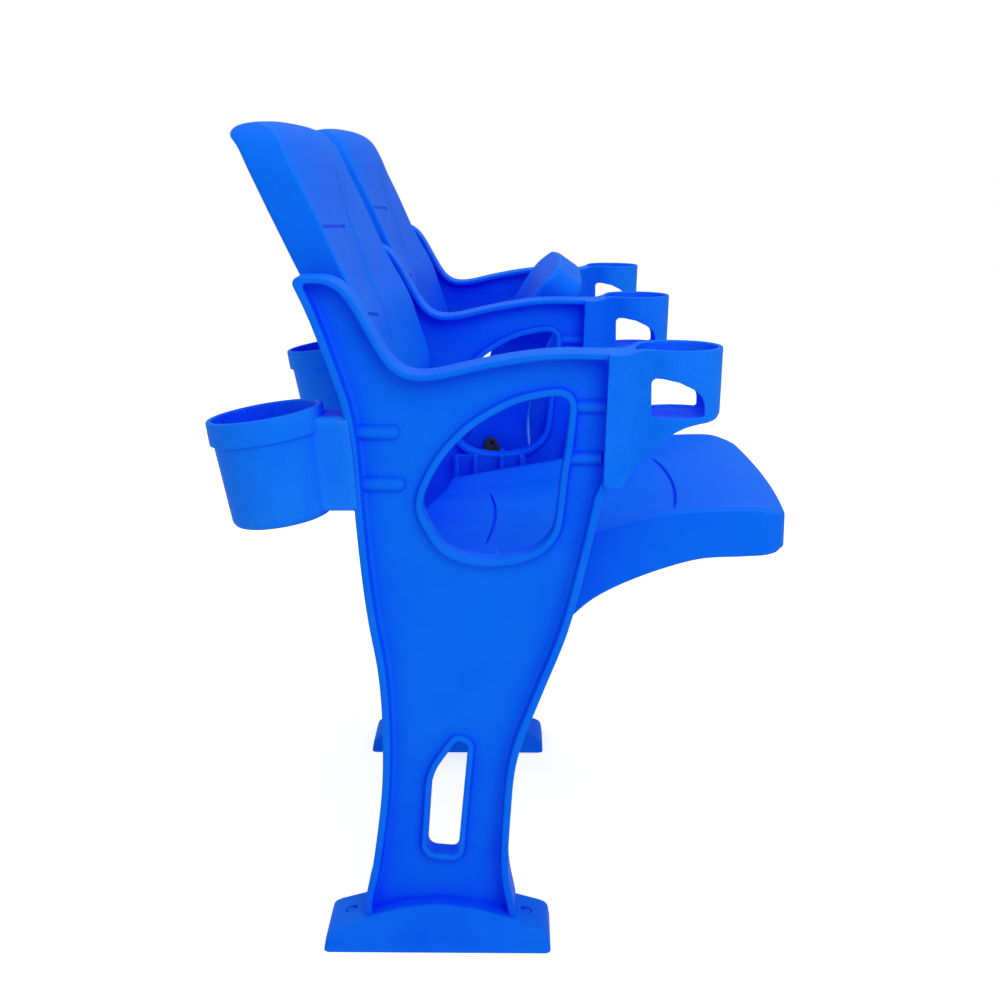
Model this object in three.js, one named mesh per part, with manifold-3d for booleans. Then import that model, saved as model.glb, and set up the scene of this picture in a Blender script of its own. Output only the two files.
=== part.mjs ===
// A row of two tip-up stadium seats. Three cast standards stand on bolted feet and carry the
// two seats, the two backs, an armrest with a cup holder in front and a deep cup behind.
// Millimetres. +X is forward, +Y runs along the row, +Z is up, and the floor is at zero.
import * as THREE from "three";
import { mergeVertices } from "three/addons/utils/BufferGeometryUtils.js";
import Module from "manifold-3d";

const wasm = await Module();
wasm.setup();

// Row and fits
const seatWidth = 430;
const seatSideGap = 55;
const backSideGap = 40;
const seatPitch = seatWidth + 2 * seatSideGap;
const fitClearance = 0.3;
const boreClearance = 0.3;
const cutOverrun = 6;
const weldDistance = 0.0001;

// Standards: the side frames, from the rear shoulder tip to the front seam
const standardHeight = 712;
const standardDepth = 311;
const flangeWidth = 50;
const flangeWall = 7;
const webWall = 10;
const windowRimWall = 7.5;
const legRimWall = 7;
const rimWidth = 28;
const frontBossRadius = 7.5;
const frontBossLength = 40;
const rearBossRadius = 8.5;
const rearBossLength = 46;
const tongueBottom = 12;
const tongueHeight = 54;
const tongueRearInset = 14;
const tongueFrontInset = 12;

// Feet
const footWidth = 90;
const footTopWidth = 56;
const footHeight = 46;
const footRearReach = 43;
const footFrontReach = 38;
const footBevel = 8;
const anchorInset = 26;
const anchorDiameter = 10;
const anchorHeadDiameter = 16;
const anchorHeadHeight = 8;
const anchorSeatHeight = 12;
const anchorRecessDiameter = 18;
const anchorBottomGap = 1;

// Armrests with their cup holders
const armrestReach = 116;
const armrestHeight = 140;
const armrestBottom = 503;
const armrestWidth = 60;
const frontCupOuterDiameter = 92;
const frontCupInnerDiameter = 82;
const frontCupFloorDiameter = 77;
const frontCupReach = 70.7;
const frontCupFloorHeight = 574;

// Cups behind the standards
const rearCupDiameter = 119;
const rearCupHeight = 112;
const rearCupBandHeight = 25;
const rearCupBandStep = 4;
const rearCupBaseDiameter = 103;
const rearCupWall = 6;
const rearCupEdgeRadius = 9;
const rearCupTilt = 8.8;
const rearCupReach = 66;
const rearCupTopZ = 576;
const rearBracketTop = 574;
const rearBracketBottom = 478;
const rearBracketWidth = 52;

// Screws
const armrestScrewDiameter = 6;
const armrestScrewHeadDiameter = 10;
const armrestScrewHeadHeight = 6;
const armrestScrewLength = 50;
const rearScrewDiameter = 8;
const rearScrewHeadDiameter = 13;
const rearScrewHeadHeight = 8;
const rearScrewLength = 52;

// Seats
const pivotZ = 341;
const tipAngle = 55;
const seatNoseReach = 333;
const seatRearReach = 85;
const seatRearTaper = 33;
const seatRearFlatWidth = 140;
const seatNoseBow = 12;
const seatCornerRadius = 30;
const seatRise = 124;
const seatDrop = 41;
const seatDishDepth = 20;
const seatWall = 4;

// Seat hinges
const housingWall = 13;
const housingRibHeight = 9;
const housingRibWidth = 6;
const housingTop = 421;
const housingBottom = 312;
const housingBossRadius = 24;
const pinDiameter = 20;
const pinEmbed = 15;
const armThickness = 6;
const armPivotRadius = 24;
const armTipRadius = 13;
const armLength = 83;
const armAngle = 34;
const armHoleDiameter = 9;
const stopRadius = 5;
const stopDistance = 37;
const springWire = 3;
const springMeanDiameter = 29;
const springTurns = 3.5;

// Backs
const backWidth = seatPitch - 2 * backSideGap;
const backBottom = 349;
const backTop = 863;
const backDepth = 172;
const backDishDepth = 16;
const backCornerRadius = 56;
const backWall = 4;
const bracketCornerRadius = 5;

// Shares of the standard's depth and height. Each run is one smooth stretch of the outline.
const frontEdgeShares = [
  [0.701, 0.03], [0.701, 0.076], [0.681, 0.096], [0.676, 0.133], [0.685, 0.208], [0.707, 0.298],
  [0.781, 0.397], [0.868, 0.494], [0.932, 0.601], [0.974, 0.68], [0.985, 0.711],
];
const armTopShares = [
  [1, 0.895], [0.823, 0.893], [0.685, 0.885], [0.543, 0.872], [0.437, 0.862], [0.36, 0.862],
  [0.309, 0.876], [0.254, 0.917], [0.199, 0.961], [0.164, 0.983], [0.12, 0.998], [0.074, 1],
];
const rearCornerShares = [[0.014, 1], [0, 0.987]];
const rearEdgeShares = [
  [0.048, 0.941], [0.112, 0.862], [0.148, 0.812], [0.167, 0.749], [0.177, 0.676], [0.199, 0.579],
  [0.219, 0.506], [0.244, 0.433], [0.254, 0.358], [0.251, 0.26], [0.228, 0.169], [0.199, 0.092],
  [0.183, 0.076], [0.183, 0.03],
];
const windowShares = [
  [0.518, 0.771], [0.579, 0.794], [0.691, 0.821], [0.788, 0.832], [0.852, 0.834], [0.87, 0.826],
  [0.873, 0.818], [0.86, 0.758], [0.847, 0.726], [0.822, 0.656], [0.804, 0.64], [0.748, 0.62],
  [0.669, 0.606], [0.566, 0.605], [0.482, 0.62], [0.423, 0.643], [0.397, 0.669], [0.4, 0.689],
  [0.428, 0.718], [0.469, 0.747],
];
const legOpeningShares = [[0.537, 0.312], [0.5, 0.137], [0.4, 0.141], [0.421, 0.267], [0.505, 0.319]];
const legOpeningRadii = [5, 6, 9, 14, 5];
const frontScrewShares = [[0.888, 0.822], [0.875, 0.749]];
const rearScrewShares = [[0.096, 0.78], [0.106, 0.705]];
const rearBossShares = [[0.331, 0.78], [0.347, 0.705]];
const footShares = [
  [0, 0], [0.012, 0.36], [0.05, 0.48], [0.16, 0.71], [0.32, 0.91], [0.5, 1], [0.68, 0.91], [0.84, 0.71],
  [0.95, 0.48], [0.988, 0.36], [1, 0],
];
const footCornerRadii = [4, 5, 8, 0, 0, 0, 0, 0, 8, 5, 4];

// Shares of the armrest's reach and height
const armrestShares = [
  [0.054, 0.957], [0.148, 0.957], [0.243, 0.975], [0.339, 1], [1, 1], [0.983, 0.53], [0.94, 0.48],
  [0.87, 0.464], [0.73, 0.457], [0.6, 0.421], [0.47, 0.357], [0.357, 0.279], [0.261, 0.171],
  [0.183, 0.064], [0.139, 0.007], [0.017, 0.007], [0.004, 0.03],
];
const armrestNeckShares = [[0.06, 1], [0.2, 1.03], [0.34, 1.2]];
const cupJoinAngle = 122;
const cupWindowShares = [
  [0.379, 0.536], [0.374, 0.775], [0.4, 0.8], [0.47, 0.8], [0.6, 0.778], [0.724, 0.728],
  [0.8, 0.67], [0.826, 0.6], [0.826, 0.536],
];

// Shares of the seat's reach ahead of the pivot, then of its rise or drop from the pivot
const seatTopShares = [
  [-0.4, 0.441], [-0.255, 0.45], [-0.156, 0.494], [0.069, 0.605], [0.3, 0.718], [0.375, 0.798],
  [0.532, 0.919], [0.634, 0.96], [0.844, 0.984], [0.934, 0.944], [1, 0.895],
];
const seatUndersideShares = [
  [-0.4, -0.195], [-0.192, -0.639], [-0.036, -1], [0.108, -0.829], [0.198, -0.5], [0.267, -0.098],
  [0.345, 0.463], [0.438, 0.895], [0.565, 1.312], [0.694, 1.605], [0.82, 1.671], [0.943, 1.724], [1, 1.8],
];
const seatDishShares = [
  [-0.4, 0.1], [-0.157, 0.4], [0.014, 0.6], [0.65, 1], [0.751, 0.8], [0.872, 0], [1, 0],
];
const seatRowShares = [0, 0.14, 0.27, 0.4, 0.53, 0.68, 0.83, 0.95, 1];
const seatColumnShares = [0, 0.72, 0.87, 0.95, 1];
const seatDishColumnShares = [1, 1, 0.6, 0, 0];
const seatPartingShare = 0.45;

// Shares of the back's height, then of its depth behind the foremost point of its side edge
const backShares = [
  [0, 0.17, 0.24], [0.07, 0.155, 0.275], [0.177, 0.135, 0.285], [0.294, 0.045, 0.28],
  [0.389, 0, 0.28], [0.436, 0.01, 0.289], [0.514, 0.083, 0.36], [0.59, 0.164, 0.442],
  [0.695, 0.328, 0.6], [0.815, 0.49, 0.767], [0.94, 0.659, 0.935], [0.975, 0.723, 1.01],
  [0.992, 0.775, 1], [1, 0.85, 0.95],
];
const backDishShares = [
  [0, 0], [0.177, -0.5], [0.389, -1], [0.52, -1], [0.6, -0.75], [0.65, -0.69], [0.705, -0.34],
  [0.76, -0.16], [0.81, 0.06], [0.86, 0.41], [0.916, 0.88], [0.97, 0.88], [1, 0.3],
];
const backRowShares = [0, 0.177, 0.294, 0.389, 0.5, 0.62, 0.74, 0.86, 0.95, 0.985, 1];
const backColumnShares = [0, 0.45, 0.8, 1];
const backDishColumnShares = [1, 0.85, 0.4, 0];
const backPartingShare = 0.5;
const bracketShares = [[0.19, 0.803], [0.28, 0.803], [0.203, 0.91], [0.113, 0.91]];

// Shares of the standard's depth: the seat's pivot, its housing and the foremost point of the back
const pivotShare = 0.5886;
const housingRearShare = 0.415;
const housingLengthShare = 0.328;
const backFrontShare = 0.328;

// Shares of the hinge housing's length
const housingRibShares = [0.07, 0.32, 0.67, 0.94];

// Sides and steps of round stretches
const boreSides = 8;
const screwSides = 6;
const bossSides = 12;
const cupSides = 22;
const armEndSides = 5;
const cornerSteps = 2;
const frontEdgeSteps = 10;
const armTopSteps = 14;
const rearEdgeSteps = 10;
const windowSteps = 22;
const springStepsPerTurn = 8;
const springSides = 5;

const bluePlastic = { color: 0x0a62e8, roughness: 0.62, metalness: 0 };
const paleBluePlastic = { color: 0x1a6df0, roughness: 0.7, metalness: 0 };
const blackPlastic = { color: 0x111318, roughness: 0.55, metalness: 0 };
const steel = { color: 0x9a9da3, roughness: 0.35, metalness: 1 };

// Solids and meshes

// A closed geometry as a solid: shared corners are welded and empty triangles left out.
function toSolid(geometry) {
  const bare = geometry.clone();
  bare.deleteAttribute("normal");
  bare.deleteAttribute("uv");
  const welded = mergeVertices(bare, weldDistance);
  const corners = [];
  for (let i = 0; i < welded.index.count; i += 3) {
    const [a, b, c] = [0, 1, 2].map((step) => welded.index.getX(i + step));
    if (a !== b && b !== c && c !== a) corners.push(a, b, c);
  }
  const vertProperties = new Float32Array(welded.attributes.position.array);
  const triVerts = new Uint32Array(corners);
  return new wasm.Manifold(new wasm.Mesh({ numProp: 3, vertProperties, triVerts }));
}

function toGeometry(solid) {
  const mesh = solid.getMesh();
  const geometry = new THREE.BufferGeometry();
  geometry.setAttribute("position", new THREE.BufferAttribute(new Float32Array(mesh.vertProperties), 3));
  geometry.setIndex(new THREE.BufferAttribute(new Uint32Array(mesh.triVerts), 1));
  geometry.computeVertexNormals();
  return geometry;
}

function named(name, solid, finish) {
  const material = new THREE.MeshStandardMaterial({ ...finish, flatShading: true });
  const mesh = new THREE.Mesh(toGeometry(solid), material);
  mesh.name = name;
  return mesh;
}

// An outline in the side view, pushed out along the row to a plate of this width.
function plate(outline, width, centre = 0) {
  const settings = { depth: width, bevelEnabled: false, curveSegments: cornerSteps };
  const geometry = new THREE.ExtrudeGeometry(new THREE.Shape(outline), settings);
  geometry.rotateX(Math.PI / 2);
  geometry.translate(0, centre + width / 2, 0);
  return toSolid(geometry);
}

// An outline in the plan view, pushed up from one height to another.
function column(outline, bottom, top) {
  const settings = { depth: top - bottom, bevelEnabled: false };
  const geometry = new THREE.ExtrudeGeometry(new THREE.Shape(outline), settings);
  geometry.translate(0, 0, bottom);
  return toSolid(geometry);
}

// The radius of a many-sided bore whose flats touch a circle of this radius.
function boreRadius(radius) {
  return radius / Math.cos(Math.PI / boreSides);
}

// A round bar from a start point along x, y or z.
function roundBar(axis, start, length, radius, sides = boreSides) {
  const geometry = new THREE.CylinderGeometry(radius, radius, length, sides);
  geometry.translate(0, length / 2, 0);
  if (axis === "x") geometry.rotateZ(-Math.PI / 2);
  if (axis === "z") geometry.rotateX(Math.PI / 2);
  geometry.translate(start.x, start.y, start.z);
  return toSolid(geometry);
}

// A round bar along x with domed ends.
function domedBar(start, length, radius) {
  const geometry = new THREE.CapsuleGeometry(radius, length, cornerSteps, bossSides, 1);
  geometry.rotateZ(-Math.PI / 2);
  geometry.translate(start.x + length / 2, start.y, start.z);
  return toSolid(geometry);
}

// A body of revolution about z, from a profile of radius and height.
function turned(profile, sides) {
  const geometry = new THREE.LatheGeometry(profile.map(([r, z]) => new THREE.Vector2(r, z)), sides);
  geometry.rotateX(Math.PI / 2);
  return toSolid(geometry);
}

// Outlines

function place(shares, width, height, x = 0, z = 0) {
  return shares.map(([across, up]) => new THREE.Vector2(x + across * width, z + up * height));
}

function smooth(points, steps) {
  return new THREE.SplineCurve(points).getSpacedPoints(steps);
}

function closedSmooth(points, steps) {
  const spots = points.map((p) => new THREE.Vector3(p.x, p.y, 0));
  const curve = new THREE.CatmullRomCurve3(spots, true);
  return curve.getSpacedPoints(steps).slice(0, steps).map((p) => new THREE.Vector2(p.x, p.y));
}

// The outline with its corners anticlockwise.
function anticlockwise(outline) {
  return THREE.ShapeUtils.isClockWise(outline) ? [...outline].reverse() : outline;
}

// The outline with every edge moved outwards, or inwards where the distance is negative.
function grow(outline, distance) {
  return outline.map((point, i) => {
    const before = outline[(i + outline.length - 1) % outline.length];
    const after = outline[(i + 1) % outline.length];
    const arriving = point.clone().sub(before).normalize();
    const leaving = after.clone().sub(point).normalize();
    const mitre = new THREE.Vector2(arriving.y + leaving.y, -arriving.x - leaving.x);
    return point.clone().addScaledVector(mitre, (2 * distance) / mitre.lengthSq());
  });
}

// The outline with each corner rounded to its own radius, where that fits the corner's edges.
function rounded(outline, radii) {
  return outline.flatMap((corner, i) => {
    const radius = Array.isArray(radii) ? radii[i] : radii;
    const before = outline[(i + outline.length - 1) % outline.length];
    const after = outline[(i + 1) % outline.length];
    const toBefore = before.clone().sub(corner);
    const toAfter = after.clone().sub(corner);
    const half = Math.abs(toBefore.angle() - toAfter.angle()) / 2;
    const wanted = radius / Math.abs(Math.tan(half));
    const reach = Math.min(wanted, toBefore.length() / 2, toAfter.length() / 2);
    if (!radius) return [corner];
    const start = corner.clone().addScaledVector(toBefore.normalize(), reach);
    const end = corner.clone().addScaledVector(toAfter.normalize(), reach);
    return new THREE.QuadraticBezierCurve(start, corner, end).getPoints(cornerSteps);
  });
}

// The value at one place in a table of places and values, joined by straight lines.
function between(table, at, column = 1) {
  const next = table.findIndex(([start]) => start >= at);
  if (next === -1) return table[table.length - 1][column];
  if (next === 0) return table[0][column];
  const [low, high] = [table[next - 1], table[next]];
  return THREE.MathUtils.lerp(low[column], high[column], (at - low[0]) / (high[0] - low[0]));
}

function mirrored(shares) {
  return [...shares.slice(1).reverse().map((share) => -share), ...shares];
}

// How far a round corner has drawn in an edge at this distance along it.
function cornerCut(distance, start, radius) {
  const past = Math.min(Math.max(distance - start, 0), radius);
  return radius - Math.sqrt(radius ** 2 - past ** 2);
}

// A closed block between two surfaces over one grid. Each corner function gets a row and a column.
// The first surface faces the way that a screw moves when it is turned from rows to columns.
function blockBetween(rows, columns, firstCorner, secondCorner) {
  const corners = [firstCorner, secondCorner].flatMap((corner) =>
    rows.flatMap((row) => columns.map((spot) => corner(row, spot))),
  );
  const sheet = rows.length * columns.length;
  const at = (side, i, j) => side * sheet + i * columns.length + j;
  const triangles = [];
  const quad = (a, b, c, d) => triangles.push(a, b, c, a, c, d);
  for (let i = 0; i + 1 < rows.length; i++) {
    for (let j = 0; j + 1 < columns.length; j++) {
      quad(at(0, i, j), at(0, i + 1, j), at(0, i + 1, j + 1), at(0, i, j + 1));
      quad(at(1, i, j), at(1, i, j + 1), at(1, i + 1, j + 1), at(1, i + 1, j));
    }
    const last = columns.length - 1;
    quad(at(0, i, 0), at(1, i, 0), at(1, i + 1, 0), at(0, i + 1, 0));
    quad(at(0, i, last), at(0, i + 1, last), at(1, i + 1, last), at(1, i, last));
  }
  for (let j = 0; j + 1 < columns.length; j++) {
    const last = rows.length - 1;
    quad(at(0, 0, j), at(0, 0, j + 1), at(1, 0, j + 1), at(1, 0, j));
    quad(at(0, last, j), at(1, last, j), at(1, last, j + 1), at(0, last, j + 1));
  }
  const geometry = new THREE.BufferGeometry();
  const positions = corners.flatMap((p) => [p.x, p.y, p.z]);
  geometry.setAttribute("position", new THREE.Float32BufferAttribute(positions, 3));
  geometry.setIndex(triangles);
  return toSolid(geometry);
}

// Standards

function onStandard([across, up]) {
  return new THREE.Vector2(across * standardDepth, up * standardHeight);
}

const standardOutline = anticlockwise([
  ...smooth(frontEdgeShares.map(onStandard), frontEdgeSteps),
  ...smooth(armTopShares.map(onStandard), armTopSteps),
  ...rearCornerShares.map(onStandard),
  ...smooth(rearEdgeShares.map(onStandard), rearEdgeSteps),
]);
const windowOutline = anticlockwise(closedSmooth(windowShares.map(onStandard), windowSteps));
const legOpeningCorners = legOpeningShares.map(onStandard);
const legOpeningOutline = anticlockwise(rounded(legOpeningCorners, legOpeningRadii));
const legRearX = rearEdgeShares[rearEdgeShares.length - 1][0] * standardDepth;
const legFrontX = frontEdgeShares[0][0] * standardDepth;
const footRearX = legRearX - footRearReach;
const footLength = legFrontX + footFrontReach - footRearX;
const tongueRearX = legRearX + tongueRearInset;
const tongueFrontX = legFrontX - tongueFrontInset;
const seamX = onStandard(frontEdgeShares[frontEdgeShares.length - 1]).x;
const frontCupCentre = seamX + frontCupReach;
const rearCupTopX = onStandard(rearScrewShares[0]).x - rearCupReach;
const pivotX = pivotShare * standardDepth;
const housingRear = housingRearShare * standardDepth;
const housingLength = housingLengthShare * standardDepth;
const backFrontX = backFrontShare * standardDepth;

// The round hole for a screw along x, with the wider hole for its head on the rear side.
function screwBore(seat, diameter, length, headDiameter, headDepth) {
  const spot = new THREE.Vector3(seat.x, 0, seat.y);
  const shank = roundBar("x", spot, length + boreClearance, boreRadius(diameter / 2 + boreClearance));
  const mouth = new THREE.Vector3(seat.x - headDepth, 0, seat.y);
  const headRadius = boreRadius(headDiameter / 2 + boreClearance);
  const head = roundBar("x", mouth, headDepth + fitClearance, headRadius);
  return shank.add(head);
}

function frontScrewBore(shares) {
  const depth = armrestScrewHeadHeight + cutOverrun;
  const seat = onStandard(shares);
  return screwBore(seat, armrestScrewDiameter, armrestScrewLength, armrestScrewHeadDiameter, depth);
}

function rearScrewBore(shares) {
  const depth = rearScrewHeadHeight + cutOverrun;
  return screwBore(onStandard(shares), rearScrewDiameter, rearScrewLength, rearScrewHeadDiameter, depth);
}

function makeStandard() {
  const pocketDepth = (flangeWidth - webWall) / 2;
  const pocketOutline = grow(standardOutline, -flangeWall);
  const clip = plate(standardOutline, flangeWidth);
  let solid = clip;
  for (const side of [-1, 1]) {
    const centre = (side * (webWall + pocketDepth + cutOverrun)) / 2;
    solid = solid.subtract(plate(pocketOutline, pocketDepth + cutOverrun, centre));
  }
  const rims = plate(grow(windowOutline, windowRimWall), rimWidth)
    .add(plate(grow(legOpeningOutline, legRimWall), rimWidth));
  let bosses = rims;
  for (const shares of frontScrewShares) {
    const seat = onStandard(shares);
    const start = new THREE.Vector3(seat.x, 0, seat.y);
    bosses = bosses.add(roundBar("x", start, frontBossLength, frontBossRadius, bossSides));
  }
  for (const shares of rearBossShares) {
    const end = onStandard(shares);
    const start = new THREE.Vector3(end.x - rearBossLength, 0, end.y);
    bosses = bosses.add(domedBar(start, rearBossLength - rearBossRadius, rearBossRadius));
  }
  solid = solid.add(bosses.intersect(clip));
  solid = solid.subtract(plate(windowOutline, flangeWidth + cutOverrun));
  solid = solid.subtract(plate(legOpeningOutline, flangeWidth + cutOverrun));
  for (const shares of frontScrewShares) solid = solid.subtract(frontScrewBore(shares));
  for (const shares of rearScrewShares) solid = solid.subtract(rearScrewBore(shares));
  solid = solid.subtract(footBlock(fitClearance));
  const tongue = [
    new THREE.Vector2(tongueRearX, tongueBottom),
    new THREE.Vector2(tongueFrontX, tongueBottom),
    new THREE.Vector2(tongueFrontX, tongueBottom + tongueHeight),
    new THREE.Vector2(tongueRearX, tongueBottom + tongueHeight),
  ];
  return solid.add(plate(tongue, webWall));
}

// Feet

// The foot's outside, moved outwards by a gap, with sloping sides, eased upper edges and a flat base.
function footBlock(gap) {
  const corners = place(footShares, footLength, footHeight, footRearX);
  const outline = grow(anticlockwise(rounded(corners, footCornerRadii)), gap);
  const settings = { depth: footWidth + 2 * gap, bevelEnabled: false };
  const full = new THREE.ExtrudeGeometry(new THREE.Shape(outline), settings);
  full.rotateX(Math.PI / 2);
  full.translate(0, footWidth / 2 + gap, 0);
  const halfWidth = footWidth / 2 + gap;
  const topHalf = footTopWidth / 2 + gap;
  const top = footHeight + gap;
  const eased = [
    new THREE.Vector2(-halfWidth, -gap),
    new THREE.Vector2(halfWidth, -gap),
    new THREE.Vector2(topHalf, top - footBevel),
    new THREE.Vector2(topHalf - footBevel, top),
    new THREE.Vector2(footBevel - topHalf, top),
    new THREE.Vector2(-topHalf, top - footBevel),
  ];
  const section = new THREE.ExtrudeGeometry(new THREE.Shape(eased), {
    depth: footLength + 2 * cutOverrun,
    bevelEnabled: false,
  });
  section.rotateX(Math.PI / 2);
  section.rotateZ(Math.PI / 2);
  section.translate(footRearX - cutOverrun, 0, 0);
  return toSolid(full).intersect(toSolid(section));
}

function anchorSpots() {
  const rear = footRearX + anchorInset;
  const front = footRearX + footLength - anchorInset;
  return [rear, front].map((x) => new THREE.Vector3(x, 0, anchorSeatHeight));
}

function makeFoot() {
  let solid = footBlock(0);
  const slot = [
    new THREE.Vector2(tongueRearX - fitClearance, tongueBottom - fitClearance),
    new THREE.Vector2(tongueFrontX + fitClearance, tongueBottom - fitClearance),
    new THREE.Vector2(tongueFrontX + fitClearance, footHeight + cutOverrun),
    new THREE.Vector2(tongueRearX - fitClearance, footHeight + cutOverrun),
  ];
  solid = solid.subtract(plate(slot, webWall + 2 * fitClearance));
  for (const seat of anchorSpots()) {
    const below = new THREE.Vector3(seat.x, seat.y, -cutOverrun);
    const floor = new THREE.Vector3(seat.x, seat.y, seat.z - fitClearance);
    const holeLength = anchorSeatHeight + 2 * cutOverrun;
    const holeRadius = boreRadius(anchorDiameter / 2 + boreClearance);
    solid = solid.subtract(roundBar("z", floor, footHeight, anchorRecessDiameter / 2, bossSides));
    solid = solid.subtract(roundBar("z", below, holeLength, holeRadius));
  }
  return solid;
}

// A bolt or screw with its head seat at the origin and its shank along z.
function fastener(diameter, length, headDiameter, headHeight) {
  const profile = [
    [0, -headHeight],
    [headDiameter / 2, -headHeight],
    [headDiameter / 2, 0],
    [diameter / 2, 0],
    [diameter / 2, length],
    [0, length],
  ];
  return turned(profile, screwSides);
}

function makeAnchorBolt() {
  const length = anchorSeatHeight - anchorBottomGap;
  return fastener(anchorDiameter, length, anchorHeadDiameter, anchorHeadHeight).rotate([180, 0, 0]);
}

// Armrests

function makeArmrest() {
  const outline = anticlockwise(place(armrestShares, armrestReach, armrestHeight, seamX, armrestBottom));
  const side = plate(outline, frontCupOuterDiameter + cutOverrun);
  const cupRadius = frontCupOuterDiameter / 2;
  const neck = place(armrestNeckShares, armrestReach, armrestWidth / 2, seamX);
  const join = THREE.MathUtils.degToRad(cupJoinAngle);
  const arc = new THREE.EllipseCurve(frontCupCentre, 0, cupRadius, cupRadius, -join, join);
  const otherSide = neck.map((p) => new THREE.Vector2(p.x, -p.y));
  const plan = [...otherSide, ...arc.getPoints(cupSides), ...neck.reverse()];
  const seam = new THREE.Vector2(seamX, 0);
  plan.push(new THREE.Vector2(seam.x, armrestWidth / 2), new THREE.Vector2(seam.x, -armrestWidth / 2));
  const top = armrestBottom + armrestHeight;
  let solid = side.intersect(column(anticlockwise(plan), armrestBottom - cutOverrun, top + cutOverrun));
  const hollow = new THREE.CylinderGeometry(
    frontCupInnerDiameter / 2,
    frontCupFloorDiameter / 2,
    top - frontCupFloorHeight + cutOverrun,
    cupSides,
  );
  hollow.rotateX(Math.PI / 2);
  hollow.translate(frontCupCentre, 0, (top + frontCupFloorHeight + cutOverrun) / 2);
  solid = solid.subtract(toSolid(hollow));
  const cupWindow = place(cupWindowShares, armrestReach, armrestHeight, seamX, armrestBottom);
  solid = solid.subtract(plate(anticlockwise(cupWindow), frontCupOuterDiameter + cutOverrun));
  solid = solid.subtract(plate(grow(standardOutline, fitClearance), frontCupOuterDiameter + cutOverrun));
  for (const shares of frontScrewShares) solid = solid.subtract(frontScrewBore(shares));
  return solid;
}

// Cups behind the standards

// The cup stands on z with its top at zero, and is then tilted and put behind the standard.
function placeRearCup(solid) {
  return solid.rotate([0, -rearCupTilt, 0]).translate([rearCupTopX, 0, rearCupTopZ]);
}

function rearCupProfile(inset) {
  const rim = rearCupDiameter / 2 - inset;
  const base = rearCupBaseDiameter / 2 - inset;
  const floor = inset - rearCupHeight;
  return { rim, base, floor };
}

function makeRearCup() {
  const { rim, base, floor } = rearCupProfile(0);
  const neck = rim - rearCupBandStep;
  const outside = turned([
    [0, floor],
    [base - rearCupEdgeRadius, floor],
    [base - rearCupEdgeRadius / 4, floor + rearCupEdgeRadius / 4],
    [base, floor + rearCupEdgeRadius],
    [neck, -rearCupBandHeight],
    [rim, -rearCupBandHeight],
    [rim, 0],
    [0, 0],
  ], cupSides);
  const hollow = rearCupProfile(rearCupWall);
  const inside = turned([
    [0, hollow.floor],
    [hollow.base - rearCupEdgeRadius / 2, hollow.floor],
    [hollow.base, hollow.floor + rearCupEdgeRadius / 2],
    [hollow.rim, 0],
    [hollow.rim, cutOverrun],
    [0, cutOverrun],
  ], cupSides);
  const bracketFront = legRearX + flangeWidth;
  const bracket = plate(
    [
      new THREE.Vector2(rearCupTopX, rearBracketBottom),
      new THREE.Vector2(bracketFront, rearBracketBottom),
      new THREE.Vector2(bracketFront, rearBracketTop),
      new THREE.Vector2(rearCupTopX, rearBracketTop),
    ],
    rearBracketWidth,
  );
  const seamCut = plate(grow(standardOutline, fitClearance), rearBracketWidth + cutOverrun);
  let solid = bracket.subtract(seamCut);
  solid = solid.decompose().sort((a, b) => a.boundingBox().min[0] - b.boundingBox().min[0])[0];
  solid = solid.add(placeRearCup(outside)).subtract(placeRearCup(inside));
  for (const shares of rearScrewShares) solid = solid.subtract(rearScrewBore(shares));
  return solid;
}

// Seats

// One corner of the seat's upper or lower surface. Inset moves every face inwards.
function seatCorner(row, spot, surface, inset) {
  const halfWidth = seatWidth / 2 - inset;
  const y = spot * halfWidth;
  const away = Math.abs(y);
  const corner = cornerCut(away, seatWidth / 2 - seatCornerRadius, seatCornerRadius - inset);
  const nose = seatNoseReach - seatNoseBow * spot ** 2 - corner - inset;
  const flat = seatRearFlatWidth / 2;
  const taper = Math.max(away - flat, 0) / (seatWidth / 2 - flat);
  const rear = seatRearTaper * taper - seatRearReach + inset;
  const x = THREE.MathUtils.lerp(rear, nose, row);
  const at = x / seatNoseReach;
  const places = mirrored(seatColumnShares);
  const dishAcross = mirrored(seatDishColumnShares).map(Math.abs);
  const across = between(places.map((share, i) => [share, dishAcross[i]]), spot);
  const dish = seatDishDepth * between(seatDishShares, at) * across;
  const top = seatRise * between(seatTopShares, at) - dish - inset;
  const underside = seatDrop * between(seatUndersideShares, at) + inset;
  const z = surface(top, underside);
  return new THREE.Vector3(pivotX + x, y, pivotZ + z);
}

function seatBlock(inset, upper, lower) {
  return blockBetween(
    seatRowShares,
    mirrored(seatColumnShares),
    (row, spot) => seatCorner(row, spot, upper, inset),
    (row, spot) => seatCorner(row, spot, lower, inset),
  );
}

// The hollow seat, split at its parting line into the upper shell and the base under it.
function makeSeat() {
  const top = (upper) => upper;
  const underside = (upper, lower) => lower;
  const parting = (gap) => (upper, lower) => THREE.MathUtils.lerp(lower, upper, seatPartingShare) + gap;
  const below = (upper, lower) => lower - cutOverrun;
  const skin = seatBlock(0, top, underside).subtract(seatBlock(seatWall, top, underside));
  const shell = skin.subtract(seatBlock(-cutOverrun, parting(fitClearance / 2), below));
  const base = skin.intersect(seatBlock(-cutOverrun, parting(-fitClearance / 2), below));
  return { shell, base };
}

// Backs

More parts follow.
